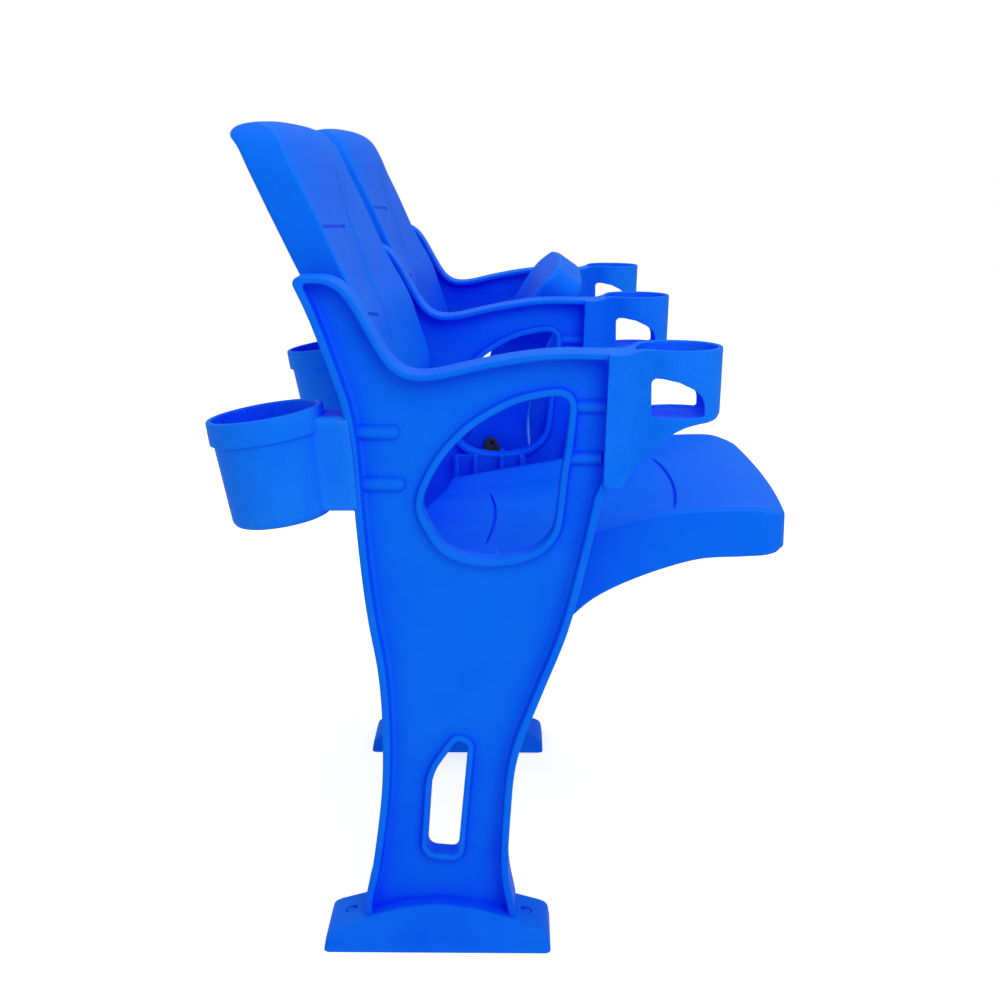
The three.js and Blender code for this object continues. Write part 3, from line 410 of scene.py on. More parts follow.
# Each light's place, size and power
LIGHTS = {
    "key": ((0.9, -2.6, 2.3), 1.8, 34),
    "top": ((0.3, 0.3, 3.0), 2.4, 25),
    "fill": ((-2.4, 1.6, 1.8), 2.0, 12),
}
CAMERA_PLACE = (REAR_X + 0.219, -2.0071, 0.83)
CAMERA_PITCH = math.radians(76.757)
CAMERA_HEADING = math.radians(0.686)
CAMERA_LENS = 53.28
CAMERA_SENSOR = 36
CAMERA_REACH = 50


# Lines in a plane

def spline(points, closed=False, per_span=16):
    """A smooth line through the points."""
    pts = np.array(points, float)
    n = len(pts)
    spans = n if closed else n - 1
    line = []
    for i in range(spans):
        if closed:
            a, b, c, d = (pts[(i + k) % n] for k in (-1, 0, 1, 2))
        else:
            a, b, c, d = (pts[min(max(i + k, 0), n - 1)] for k in (-1, 0, 1, 2))
        for s in range(per_span):
            t = s / per_span
            bend, twist = 2 * a - 5 * b + 4 * c - d, 3 * b - a - 3 * c + d
            line.append((2 * b + (c - a) * t + bend * t**2 + twist * t**3) / 2)
    if not closed:
        line.append(pts[-1])
    return np.array(line)


def lengths_along(line):
    return np.concatenate([[0], np.cumsum(np.linalg.norm(np.diff(line, axis=0), axis=1))])


def spaced(line, step, closed=False):
    """The same line with evenly spaced points."""
    loop = np.vstack([line, line[:1]]) if closed else line
    lengths = lengths_along(loop)
    at = np.linspace(0, lengths[-1], max(2, round(lengths[-1] / step)) + 1)
    found = np.column_stack([np.interp(at, lengths, loop[:, k]) for k in range(loop.shape[1])])
    return found[:-1] if closed else found


def relaxed(line, rounds, closed=False):
    """The line with its small bumps smoothed away."""
    for _ in range(rounds):
        if closed:
            line = line / 2 + (np.roll(line, 1, 0) + np.roll(line, -1, 0)) / 4
        else:
            middle = line[1:-1] / 2 + (line[:-2] + line[2:]) / 4
            line = np.vstack([line[:1], middle, line[-1:]])
    return line


def unit(v):
    return v / np.linalg.norm(v)


def right_of(v):
    return np.stack([v[..., 1], -v[..., 0]], axis=-1)


def outward(along):
    """Unit vectors to the right of many directions."""
    return right_of(along / np.linalg.norm(along, axis=1)[:, None])


def meeting(p, u, q, v):
    """Where the line from p along u meets the line from q along v."""
    return p + u * np.linalg.solve(np.column_stack([u, -v]), q - p)[0]


def fillet(corner, arriving, leaving, radius, steps=FILLET_STEPS):
    """A round corner between two straight directions."""
    turn = math.atan2(arriving[0] * leaving[1] - arriving[1] * leaving[0], float(arriving @ leaving))
    start = corner - arriving * radius * math.tan(abs(turn) / 2)
    centre = start - math.copysign(radius, turn) * right_of(arriving)
    spoke = start - centre
    turns = turn * np.arange(steps + 1) / steps
    return centre + np.outer(np.cos(turns), spoke) - np.outer(np.sin(turns), right_of(spoke))


def corner_ring(corners, radii, growth=0.0, steps=FILLET_STEPS):
    """An anticlockwise polygon moved outwards, with round corners."""
    pts = np.array(corners, float)
    n = len(pts)
    ring = []
    for i in range(n):
        arriving, leaving = unit(pts[i] - pts[i - 1]), unit(pts[(i + 1) % n] - pts[i])
        corner = meeting(
            pts[i] + right_of(arriving) * growth, arriving, pts[i] + right_of(leaving) * growth, leaving
        )
        convex = arriving[0] * leaving[1] - arriving[1] * leaving[0] > 0
        radius = max(radii[i] + (growth if convex else -growth), LEAST_RADIUS)
        ring.append(fillet(corner, arriving, leaving, radius, steps))
    return np.vstack(ring)


def grown(line, growth):
    """An anticlockwise closed line moved outwards."""
    return line + outward(np.roll(line, -1, 0) - np.roll(line, 1, 0)) * growth


def turn_angles(steps):
    return np.arange(steps) * 2 * math.pi / steps


def circle(x, z, radius, steps):
    angles = turn_angles(steps)
    return np.column_stack([x + radius * np.cos(angles), z + radius * np.sin(angles)])


def rectangle(left, right, low, high):
    return [(left, low), (right, low), (right, high), (left, high)]


def round_outline(x, z, radius, steps):
    """A circle, as a function that gives its ring for a growth."""
    return lambda growth: circle(x, z, radius + growth, steps)


def corner_outline(corners, radius, steps=FILLET_STEPS):
    """A polygon with equal round corners, as a function that gives its ring for a growth."""
    return lambda growth: corner_ring(corners, [radius] * len(corners), growth, steps)


def hull(circles, growth, steps=96):
    """The outline of a plate stretched round several circles, from its rearmost point on."""
    spots = np.vstack([circle(x, z, radius + growth, steps) for x, z, radius in circles])
    ring = spots[convex_hull_2d([tuple(spot) for spot in spots])]
    return np.roll(ring, -int(np.argmin(ring[:, 0])), 0)


def anticlockwise(points):
    pts = np.array(points)
    area = np.sum(pts[:, 0] * np.roll(pts[:, 1], -1) - np.roll(pts[:, 0], -1) * pts[:, 1])
    return pts if area > 0 else pts[::-1]


def from_mm(points):
    return [(a * MM, b * MM) for a, b in points]


def edge_drop(distance, radius):
    """How far a rounded edge falls at this distance in from it."""
    inside = np.clip(radius - distance, 0, radius)
    return radius - np.sqrt(radius**2 - inside**2)


def corner_cut(distance, start, radius):
    """How far a rounded corner cuts in at this distance, from where it starts."""
    past = np.clip(distance - start, 0, radius)
    return radius - np.sqrt(radius**2 - past**2)


# Meshes

class Shape:
    """Vertices and faces that become one mesh."""

    def __init__(self):
        self.vertices = []
        self.faces = []

    def add(self, points):
        start = len(self.vertices)
        self.vertices.extend(map(tuple, np.asarray(points, float)))
        return np.arange(start, start + len(points))

    def band(self, rings, closed=True):
        """Quads between each ring and the next."""
        rows = [self.add(ring) for ring in rings]
        self.join(rows, closed)
        return rows

    def join(self, rows, closed=True):
        for lower, upper in zip(rows, rows[1:]):
            n = len(lower)
            for i in range(n if closed else n - 1):
                j = (i + 1) % n
                self.faces.append((lower[i], lower[j], upper[j], upper[i]))

    def fan(self, row):
        self.faces.append(tuple(row))

    def solid(self, rings):
        """A band with both ends closed."""
        rows = self.band(rings)
        self.fan(rows[0])
        self.fan(rows[-1])
        return self

    def cap(self, rows):
        """A flat face with holes in the side view: the first row is its edge."""
        loops = [[Vector((self.vertices[i][0], self.vertices[i][2], 0)) for i in row] for row in rows]
        every = np.concatenate(rows)
        for triangle in tessellate_polygon(loops):
            self.faces.append(tuple(every[i] for i in triangle))

    def mesh(self, name, sharp=None):
        mesh = bpy.data.meshes.new(name)
        mesh.from_pydata(self.vertices, [], [tuple(int(i) for i in f) for f in self.faces])
        return finished(mesh, sharp)


def finished(mesh, sharp=None):
    """Welds the mesh, turns its faces outwards and shades it smooth, with sharp edges past an angle."""
    bm = bmesh.new()
    bm.from_mesh(mesh)
    bmesh.ops.remove_doubles(bm, verts=bm.verts, dist=1e-6)
    bmesh.ops.dissolve_degenerate(bm, dist=1e-7, edges=bm.edges)
    bmesh.ops.recalc_face_normals(bm, faces=bm.faces)
    bm.to_mesh(mesh)
    bm.free()
    mesh.shade_smooth()
    if sharp is not None:
        mesh.set_sharp_from_angle(angle=math.radians(sharp))
    return mesh


def on_plane(ring, y):
    return np.column_stack([ring[:, 0], np.full(len(ring), y), ring[:, 1]])


def slab(name, outline, low, high, bevel, holes=()):
    """A plate in the side view with soft edges. Outline and holes give their ring for a growth."""
    shape = Shape()
    soft = [(bevel * inset, bevel * rise) for inset, rise in SOFT_EDGE_SHARES]
    section = [(inset, low + rise) for inset, rise in soft]
    section += [(inset, high - rise) for inset, rise in reversed(soft)]
    outer = shape.band([on_plane(outline(-inset), y) for inset, y in section])
    inner = [shape.band([on_plane(hole(inset), y) for inset, y in section]) for hole in holes]
    for end in (0, -1):
        shape.cap([outer[end], *(rows[end] for rows in inner)])
    return shape.mesh(name, 40)


def lathe(name, profile, steps, sharp=40):
    """A body turned about z, from radii and heights that start and end on the axis."""
    shape = Shape()
    shape.band([
        np.column_stack([circle(0, 0, max(radius, 1e-7), steps), np.full(steps, z)])
        for radius, z in profile
    ])
    return shape.mesh(name, sharp)


def soft_profile(points, radii, steps=6):
    """An open profile with round corners."""
    pts = np.array(points, float)
    line = [pts[:1]]
    for i in range(1, len(pts) - 1):
        arriving, leaving = unit(pts[i] - pts[i - 1]), unit(pts[i + 1] - pts[i])
        line.append(fillet(pts[i], arriving, leaving, radii[i], steps) if radii[i] else pts[i:i + 1])
    line.append(pts[-1:])
    return np.vstack(line)


def tube(name, path, radius, steps):
    """A round wire along a path, with closed ends."""
    pts = np.array(path, float)
    angles = turn_angles(steps)
    rings = []
    side = None
    for i, point in enumerate(pts):
        along = unit(pts[min(i + 1, len(pts) - 1)] - pts[max(i - 1, 0)])
        if side is None:
            side = unit(np.cross(along, (0, 1, 0.3)))
        side = unit(side - along * (side @ along))
        up = np.cross(along, side)
        rings.append(point + radius * (np.outer(np.cos(angles), side) + np.outer(np.sin(angles), up)))
    return Shape().solid(rings).mesh(name, 50)


def block(first, second):
    """A closed block between two surfaces over one grid, as a shape."""
    shape = Shape()
    rows, columns = first.shape[:2]
    tops = shape.add(first.reshape(-1, 3)).reshape(rows, columns)
    bottoms = shape.add(second.reshape(-1, 3)).reshape(rows, columns)
    shape.join(list(tops), closed=False)
    shape.join(list(bottoms), closed=False)
    rim = [(i, 0) for i in range(rows)] + [(rows - 1, j) for j in range(1, columns)]
    rim += [(i, columns - 1) for i in range(rows - 2, -1, -1)] + [(0, j) for j in range(columns - 2, 0, -1)]
    shape.join([[tops[s] for s in rim], [bottoms[s] for s in rim]])
    return shape


def prism(name, outline, low, high):
    """A straight prism across the row, as a cutter or a blank."""
    shape = Shape()
    rows = shape.band([on_plane(outline, low), on_plane(outline, high)])
    for row in rows:
        shape.cap([row])
    return shape.mesh(name)


def linked(name, data):
    """A new object in the scene."""
    added = bpy.data.objects.new(name, data)
    bpy.context.scene.collection.objects.link(added)
    return added


def worked(mesh, steps, voxel=None, smoothing=0, sharp=None):
    """The mesh after boolean steps, a voxel remesh and smoothing."""
    body = linked(mesh.name, mesh)
    helpers = []
    for operation, tool in steps:
        helper = linked(tool.name, tool)
        helpers.append(helper)
        cut = body.modifiers.new("step", "BOOLEAN")
        cut.operation = operation
        cut.solver = "EXACT"
        cut.object = helper
    if voxel:
        remesh = body.modifiers.new("remesh", "REMESH")
        remesh.mode = "VOXEL"
        remesh.voxel_size = voxel
        remesh.use_smooth_shade = True
    if smoothing:
        soften = body.modifiers.new("soften", "SMOOTH")
        soften.factor = 0.5
        soften.iterations = smoothing
    bpy.context.view_layer.update()
    result = bpy.data.meshes.new_from_object(body.evaluated_get(bpy.context.evaluated_depsgraph_get()))
    for helper in [body, *helpers]:
        bpy.data.objects.remove(helper)
    result.shade_smooth()
    if sharp is not None:
        result.set_sharp_from_angle(angle=math.radians(sharp))
    return result


def carved(mesh, cutters, sharp):
    return worked(mesh, [("DIFFERENCE", cutter) for cutter in cutters], sharp=sharp)


def moved(mesh, matrix):
    copy = mesh.copy()
    copy.transform(matrix)
    return copy


def shifted(mesh, x, y, z):
    return moved(mesh, Matrix.Translation((x, y, z)))


def joined(name, *meshes):
    """Several meshes as one."""
    bm = bmesh.new()
    for mesh in meshes:
        bm.from_mesh(mesh)
    result = bpy.data.meshes.new(name)
    bm.to_mesh(result)
    bm.free()
    return result


def place(name, mesh, material, node, slot, body="root", y=0.0):
    """Puts a mesh in the row in place of a CAD node."""
    if not mesh.materials:
        mesh.materials.append(material)
    piece = linked(name, mesh)
    piece.location.y = y
    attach(piece, body)
    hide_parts(node)
    return piece


# Materials

class Look:
    """A material and the nodes that it is wired from."""

    def __init__(self, name):
        self.material = bpy.data.materials.new(name)
        self.material.use_nodes = True
        self.nodes = self.material.node_tree.nodes
        self.links = self.material.node_tree.links
        self.shader = self.nodes["Principled BSDF"]

    def node(self, kind, **values):
        """A node with some of its sockets set."""
        node = self.nodes.new(kind)
        for socket, value in values.items():
            node.inputs[socket].default_value = value
        return node

    def wire(self, source, socket):
        self.links.new(source, self.shader.inputs[socket])

    def noise(self, scale, detail=2.0, roughness=0.5):
        node = self.node("ShaderNodeTexNoise", Scale=scale, Detail=detail, Roughness=roughness)
        self.links.new(self.nodes.new("ShaderNodeTexCoord").outputs["Object"], node.inputs["Vector"])
        return node.outputs["Fac"]

    def ramp(self, factor, *stops):
        """Grey levels at places along the factor."""
        node = self.nodes.new("ShaderNodeValToRGB")
        for element, (position, level) in zip(node.color_ramp.elements, stops):
            element.position = position
            element.color = (level, level, level, 1)
        self.links.new(factor, node.inputs["Fac"])
        return node.outputs["Color"]

    def mixed(self, factor, first, second):
        """Two colours mixed by a factor. Each colour is a socket or a plain value."""
        node = self.nodes.new("ShaderNodeMix")
        node.data_type = "RGBA"
        self.links.new(factor, node.inputs["Factor"])
        for socket, value in ((node.inputs[6], first), (node.inputs[7], second)):
            if isinstance(value, bpy.types.NodeSocket):
                self.links.new(value, socket)
            else:
                socket.default_value = (*value, 1)
        return node.outputs[2]

    def bump(self, height, strength, depth):
        node = self.node("ShaderNodeBump", Strength=strength, Distance=depth)
        self.links.new(height, node.inputs["Height"])
        self.wire(node.outputs["Normal"], "Normal")

    def sharp_edges(self, start, end, level):
        """A level where the surface has sharp edges."""
        pointiness = self.nodes.new("ShaderNodeNewGeometry").outputs["Pointiness"]
        return self.ramp(pointiness, (start, 0), (end, level))

    def stored_edge_highlight(self, start, end, level):
        """A level where the mesh stores its painted edge highlight."""
        stored = self.nodes.new("ShaderNodeAttribute")
        stored.attribute_name = "wear"
        return self.ramp(stored.outputs["Fac"], (start, 0), (end, level))


def moulded_blue(name, base, painted_shade, pale, grain, grain_scale, roughness, by_attribute=False):
    """Blue plastic or paint: fine grain, a deeper blue painted into hollows as shade, and paler edges
    painted as highlight.
    """
    look = Look(name)
    speck = look.noise(grain_scale, detail=3.0, roughness=0.6)
    cloud = look.noise(14.0, detail=3.0, roughness=0.55)
    shade = look.node("ShaderNodeAmbientOcclusion", Distance=0.22)
    shade.samples = 8
    # Painted shade: a deeper blue mixed in where ambient occlusion finds hollows.
    hollow_shaded = look.mixed(look.ramp(shade.outputs["AO"], (0.27, 0), (0.8, 1)), painted_shade, base)
    clouded = look.mixed(look.ramp(cloud, (0.3, 0), (0.7, 0.35)), hollow_shaded, pale)
    grained = look.mixed(look.ramp(speck, (0.5, 0), (0.78, grain)), clouded, pale)
    # Painted highlight: paler edges, from the stored edge highlight or from the mesh's pointiness.
    painted_highlight = look.stored_edge_highlight(0.7, 1.0, 0.7) if by_attribute else look.sharp_edges(0.52, 0.6, 0.45)
    look.wire(look.mixed(painted_highlight, grained, pale), "Base Color")
    look.wire(look.ramp(cloud, (0.3, roughness - 0.05), (0.7, roughness + 0.07)), "Roughness")
    look.bump(speck, strength=0.22, depth=0.0004)
    look.shader.inputs["Specular IOR Level"].default_value = 0.04
    return look.material


def coated_plate(name):
    """A black coated steel plate, paler grey along its sharp edges."""
    look = Look(name)
    speck = look.noise(900.0, detail=3.0)
    grained = look.mixed(speck, (0.008, 0.008, 0.01), (0.02, 0.021, 0.024))
    look.wire(look.mixed(look.sharp_edges(0.53, 0.62, 0.6), grained, (0.12, 0.12, 0.13)), "Base Color")
    look.wire(look.ramp(speck, (0.3, 0.42), (0.7, 0.56)), "Roughness")
    look.bump(speck, strength=0.2, depth=0.0003)
    return look.material


def plated_steel(name):
    """Dull zinc plated steel with faint mottling."""
    look = Look(name)
    mottle = look.noise(160.0, detail=4.0, roughness=0.6)
    look.wire(look.mixed(mottle, (0.42, 0.43, 0.45), (0.62, 0.62, 0.63)), "Base Color")
    look.wire(look.ramp(mottle, (0.3, 0.3), (0.75, 0.5)), "Roughness")
    look.shader.inputs["Metallic"].default_value = 1.0
    look.bump(look.noise(1400.0), strength=0.15, depth=0.0002)
    return look.material


# The deeper blue that is painted into hollows as shade.
PAINTED_SHADE_BLUE = (0.0, 0.008, 0.95)
PALE_BLUE = (0.006, 0.2, 0.92)
BLUE = moulded_blue(
    "blue_casting", (0.0, 0.134, 0.87), PAINTED_SHADE_BLUE, PALE_BLUE, grain=0.26, grain_scale=820.0, roughness=0.56
)
SEAT_BLUE = moulded_blue(
    "blue_seat_shell", (0.0, 0.132, 0.87), PAINTED_SHADE_BLUE, PALE_BLUE, grain=0.26, grain_scale=900.0,
    roughness=0.58, by_attribute=True,
)
# The cup plastic's second colour is its blue painted into hollows as shade.
CUP_BLUE = moulded_blue(
    "pale_blue_moulding", (0.0, 0.152, 0.9), (0.0, 0.012, 0.95), (0.02, 0.25, 0.94), grain=0.42,
    grain_scale=620.0, roughness=0.6,
)
BLACK = coated_plate("black_coated_plate")
STEEL = plated_steel("zinc_plated_steel")


# Standards

def on_standard(share):
    return np.array([REAR_X + share[0] * STANDARD_DEPTH, share[1] * STANDARD_HEIGHT])


def standard_runs():
    """The outline's smooth runs: points, their outward normals, and the directions at both ends."""
    runs = []
    for i, shares in enumerate((FRONT_EDGE_SHARES, ARM_TOP_SHARES, REAR_EDGE_SHARES, SOLE_SHARES)):
        line = relaxed(spaced(spline([on_standard(s) for s in shares]), OUTLINE_STEP), OUTLINE_ROUNDS)
        normals = outward(np.gradient(line, axis=0))
        lengths = lengths_along(line)
        from_start, from_end = STANDARD_CUTS[i], STANDARD_CUTS[(i + 1) % 4]
        kept = (lengths >= from_start) & (lengths <= lengths[-1] - from_end)
        inner = line[kept]
        runs.append((inner, normals[kept], unit(inner[0] - line[0]), unit(line[-1] - inner[-1])))
    return runs


STANDARD_RUNS = standard_runs()


def wall_share(run, line):
    """How much of the full wall the flange has. The front one is thin where the armrest covers it."""
    return np.interp(line[:, 1], *WALL_TABLES[run])[:, None]


def standard_ring(inset):
    """The standard's outline moved inwards. Inside it, the flange's own wall scales the move."""
    lines = [
        line - normals * inset * (wall_share(i, line) if inset > 0 else 1)
        for i, (line, normals, _, _) in enumerate(STANDARD_RUNS)
    ]
    ring = []
    for i, line in enumerate(lines):
        after = (i + 1) % len(lines)
        leaving, next_start = STANDARD_RUNS[i][3], STANDARD_RUNS[after][2]
        corner = meeting(line[-1], leaving, lines[after][0], next_start)
        outer, inner = STANDARD_CORNERS[i]
        radius = outer + (inner - outer) * min(max(inset / POCKET_INSET, 0), 1)
        ring += [line, fillet(corner, leaving, next_start, radius)]
    return np.vstack(ring)


def window_line():
    """The arm window's edge."""
    line = spaced(spline([on_standard(s) for s in WINDOW_SHARES], closed=True), WINDOW_STEP, True)
    return anticlockwise(relaxed(line, WINDOW_ROUNDS, True))


def both_sides(section):
    """A section's rows on one side, over the middle plane and on to the other side."""
    near = [(d * MM, -y * MM) for d, y in section]
    return near + [(d, 0.0) for d, _ in near[-1:]] + [(d, -y) for d, y in reversed(near)]


def bar_along_x(start, end, z, half, domed, steps=28):
    """The rings of a bar with an oval section, which may end in a dome at its front."""
    half_height, half_width = half
    angles = turn_angles(steps)
    stations = [(start, 1.0), (start + BOSS_END, 1.0)]
    if domed:
        reach = half_height * BOSS_DOME
        for angle in np.linspace(0, math.pi / 2, 9)[:-1]:
            stations.append((end - reach + reach * math.sin(angle), math.cos(angle)))
        stations.append((end, BOSS_TIP))
    else:
        stations += [(end - BOSS_END, 1.0), (end, 1.0)]
    return [
        np.column_stack([
            np.full(steps, x),
            half_width * size * np.sin(angles),
            z + half_height * size * np.cos(angles),
        ])
        for x, size in stations
    ]


def standard_mesh():
    leg = [on_standard(s) for s in LEG_OPENING_SHARES]
    edge = window_line()
    shape = Shape()
    bands = [shape.band([on_plane(standard_ring(d), y) for d, y in both_sides(FLANGE_SECTION)])]
    bands.append(shape.band([on_plane(grown(edge, d), y) for d, y in both_sides(RIM_SECTION)]))
    bands.append(shape.band([
        on_plane(corner_ring(leg, LEG_OPENING_RADII, d * LEG_RIM_SHARE + LEG_RIM_SHIFT, 6), y)
        for d, y in both_sides(RIM_SECTION)
    ]))
    for end in (0, -1):
        shape.cap([band[end] for band in bands])
    bosses = Shape()
    for share in FRONT_BOSS_SHARES:
        x, z = on_standard(share)
        start, end = FRONT_BOSS_REACH
        bosses.solid(bar_along_x(x + start, x + end, z, FRONT_BOSS_HALF, False))
    for rear, front in zip(REAR_SCREW_SHARES, REAR_BOSS_SHARES):
        x, z = on_standard(rear)
        bosses.solid(bar_along_x(x + REAR_BOSS_START, on_standard(front)[0], z, REAR_BOSS_HALF, True))
    return joined("standard", shape.mesh("standard_frame", 40), bosses.mesh("standard_bosses", 40))


# Feet

def foot_ring(x, z):
    """The foot's section where its top is z high: up one side, over the crowned top and down the other."""
    to_end = min(x - FOOT_REAR, FOOT_REAR + FOOT_LENGTH - x)
    base = np.array([FOOT_HALF - edge_drop(to_end, FOOT_END_ROUND), 0.0])
    shoulder = np.array([base[0] - FOOT_SIDE_SLOPE * z, z])
    turn = np.tile(shoulder, (FILLET_STEPS + 1, 1))
    if z > FOOT_SHARP_HEIGHT:
        lean = unit(np.array([-FOOT_SIDE_SLOPE, 1.0]))
        turn = fillet(shoulder, lean, np.array([-1.0, 0.0]), min(FOOT_EDGE_RADIUS, FOOT_EDGE_SHARE * z))
    side = [base + (turn[0] - base) * t for t in (0, 0.3, 0.65)]
    inner = turn[-1][0]
    across = np.linspace(inner, 0, 8)[1:]
    crown = z + FOOT_CROWN * (1 - (across / inner) ** 2) * min(1, z / FOOT_CROWN_HEIGHT)
    half = np.vstack([side, turn, np.column_stack([across, crown])])
    ring = np.vstack([half, half[-2::-1] * (-1, 1)])
    return np.column_stack([np.full(len(ring), x), ring])


def foot_mesh():
    corners = [(FOOT_REAR + x * FOOT_LENGTH, z * FOOT_HEIGHT) for x, z in FOOT_SHARES]
    line = spaced(soft_profile(corners, FOOT_RADII), CURVE_STEP)
    shape = Shape()
    rows = shape.band([foot_ring(x, max(z, 0.0)) for x, z in line], closed=False)
    shape.fan([row[0] for row in rows] + [row[-1] for row in reversed(rows)])
    recess = lathe("recess", from_mm(ANCHOR_RECESS), 40)
    cutters = [shifted(recess, x, 0, ANCHOR_SEAT - FIT_GAP) for x in ANCHOR_X.values()]
    return carved(shape.mesh("foot_body", 45), cutters, 38)


# Fasteners

def hexagon(radius, z):
    angles = turn_angles(6) + math.pi / 6
    return np.column_stack([radius * np.cos(angles), radius * np.sin(angles), np.full(6, z)])


def anchor_bolt_mesh():
    """A hexagon bolt with its washer, head up, and its shank down to the floor."""
    head = Shape().solid([hexagon(radius, z) for radius, z in from_mm(ANCHOR_HEAD)])
    washer = lathe("washer", from_mm(ANCHOR_WASHER), 40)
    shank = lathe("shank", from_mm(ANCHOR_SHANK), 32)
    return joined("anchor_bolt", head.mesh("bolt_head", 30), washer, shank)


def socket_screw_mesh(name, diameter, length, head, head_height, socket):
    """A socket head screw along x: its head is behind its seat, and its shank ahead of it."""
    profile = [
        (0, -head_height), (head / 2, -head_height), (head / 2, 0), (diameter / 2, 0),
        (diameter / 2, length), (0, length),
    ]
    body = lathe(name, soft_profile(profile, SCREW_EDGES, 3), 36)
    heights = (-head_height - CUTTER_OVERSHOOT, -head_height * (1 - SOCKET_DEPTH_SHARE))
    pocket = Shape().solid([hexagon(socket / 2, z) for z in heights]).mesh("socket")
    return moved(carved(body, [pocket], 35), Matrix.Rotation(math.pi / 2, 4, "Y"))


# Armrests

ARMREST_X = on_standard(FRONT_EDGE_SHARES[-2])[0]
CUP_X = ARMREST_X + CUP_REACH


def on_armrest(share):
    return np.array([ARMREST_X + share[0] * ARMREST_REACH, ARMREST_BOTTOM + share[1] * ARMREST_HEIGHT])


def armrest_side():
    """The armrest as seen from its side."""
    points = [on_armrest(s) for s in ARMREST_SHARES]
    rear_top = points[0] - (ARMREST_TOP_LAP, 0)
    top_edge = spaced(spline([rear_top, *points[0:4], (points[4] + points[3]) / 2]), CURVE_STEP)
    under = spaced(spline(points[6:15]), CURVE_STEP)
    down, back = unit(points[5] - points[4]), unit(points[6] - points[5])
    nose = fillet(points[5], down, back, ARMREST_NOSE_RADIUS, 6)
    heel_corner = points[15] - (ARMREST_HEEL_LAP, 0)
    heel = fillet(heel_corner, np.array([-1.0, 0.0]), unit(points[0] - points[16]), ARMREST_HEEL_RADIUS, 6)
    side = np.vstack([top_edge, points[4][None], nose, under, heel])
    return prism("armrest_side", anticlockwise(side), -ARMREST_BLANK_HALF, ARMREST_BLANK_HALF)


def armrest_plan():
    """The armrest as seen from above: a neck that runs into the round cup, which tapers downwards."""
    angles = np.linspace(CUP_JOIN, -CUP_JOIN, 72)
    arc = np.column_stack([CUP_X + CUP_TOP_RADIUS * np.cos(angles), CUP_TOP_RADIUS * np.sin(angles)])
    neck = [(ARMREST_X + x * ARMREST_REACH, y * ARMREST_HALF) for x, y in NECK_SHARES]
    neck = spaced(spline([*neck, arc[0]]), CURVE_STEP)[:-1]
    line = np.vstack([neck, arc, (neck * (1, -1))[::-1]])
    ahead = np.clip((line[:, 0] - ARMREST_X) / CUP_REACH, 0, 1)[:, None]
    centre = np.array([CUP_X, 0])
    rings = []
    for z, size in ARMREST_TAPER:
        scaled = centre + (line - centre) * (1 + (size - 1) * ahead)
        rings.append(np.column_stack([scaled, np.full(len(scaled), z)]))
    return Shape().solid(rings).mesh("armrest_plan")


def armrest_mesh():
    well = lathe("well", [
        (0, CUP_FLOOR),
        (CUP_WELL_BASE - CUP_WELL_ROUND, CUP_FLOOR),
        (CUP_WELL_BASE, CUP_FLOOR + CUP_WELL_ROUND),
        (CUP_WELL_TOP, ARMREST_BOTTOM + ARMREST_HEIGHT + CUTTER_OVERSHOOT),
        (CUP_WELL_TOP, WELL_CUTTER_TOP),
        (0, WELL_CUTTER_TOP),
    ], 72)
    corners = anticlockwise([on_armrest(s) for s in CUP_WINDOW_SHARES])
    opening = corner_outline(corners, CUP_WINDOW_RADIUS, 4)(0)
    cheek = FLANGE_HALF + ARMREST_CHEEK_GAP
    steps = [
        ("INTERSECT", armrest_plan()),
        ("DIFFERENCE", shifted(well, CUP_X, 0, 0)),
        ("DIFFERENCE", prism("cup_window", opening, -WINDOW_CUTTER_HALF, WINDOW_CUTTER_HALF)),
        ("DIFFERENCE", prism("seam_notch", standard_ring(ARMREST_FLANGE_LAP), -cheek, cheek)),
    ]
    mesh = worked(armrest_side(), steps, voxel=ARMREST_VOXEL, smoothing=ARMREST_SMOOTHING)
    mesh.name = "armrest"
    return mesh


# Rear cups

REAR_CUP_X = on_standard(REAR_SCREW_SHARES[0])[0] - REAR_CUP_REACH
REAR_CUP_TURN = Matrix.Rotation(-REAR_CUP_TILT, 4, "Y")
REAR_CUP_PLACE = Matrix.Translation((REAR_CUP_X, 0, REAR_CUP_TOP_Z)) @ REAR_CUP_TURN


def rear_edge_x(z):
    line = STANDARD_RUNS[2][0]
    return float(np.interp(z, line[::-1, 1], line[::-1, 0]))


def cup_wall_x(y, z):
    """Where a line along x meets the middle of the cup's wall."""
    from_row = REAR_CUP_PLACE.inverted()
    for x in REAR_WALL_SEARCH:
        spot = from_row @ Vector((REAR_CUP_X + x, y, z))
        if math.hypot(spot.x, spot.y) <= np.interp(spot.z, *REAR_WALL_TABLE):
            return REAR_CUP_X + x
    return REAR_CUP_X


def rear_bracket_mesh():
    """The block between the cup's wall and the standard's rear edge."""
    corners = rectangle(-REAR_BRACKET_HALF, REAR_BRACKET_HALF, REAR_BRACKET_BOTTOM, REAR_BRACKET_TOP)
    ring = spaced(corner_outline(corners, REAR_BRACKET_RADIUS, 6)(0), OUTLINE_STEP, True)
    starts = np.array([cup_wall_x(y, z) for y, z in ring])
    ends = np.array([rear_edge_x(z) + REAR_BRACKET_LAP for _, z in ring])
    rings = [np.column_stack([starts + (ends - starts) * t, ring]) for t in (0, 0.33, 0.66, 1)]
    return Shape().solid(rings).mesh("rear_cup_bracket", 45)


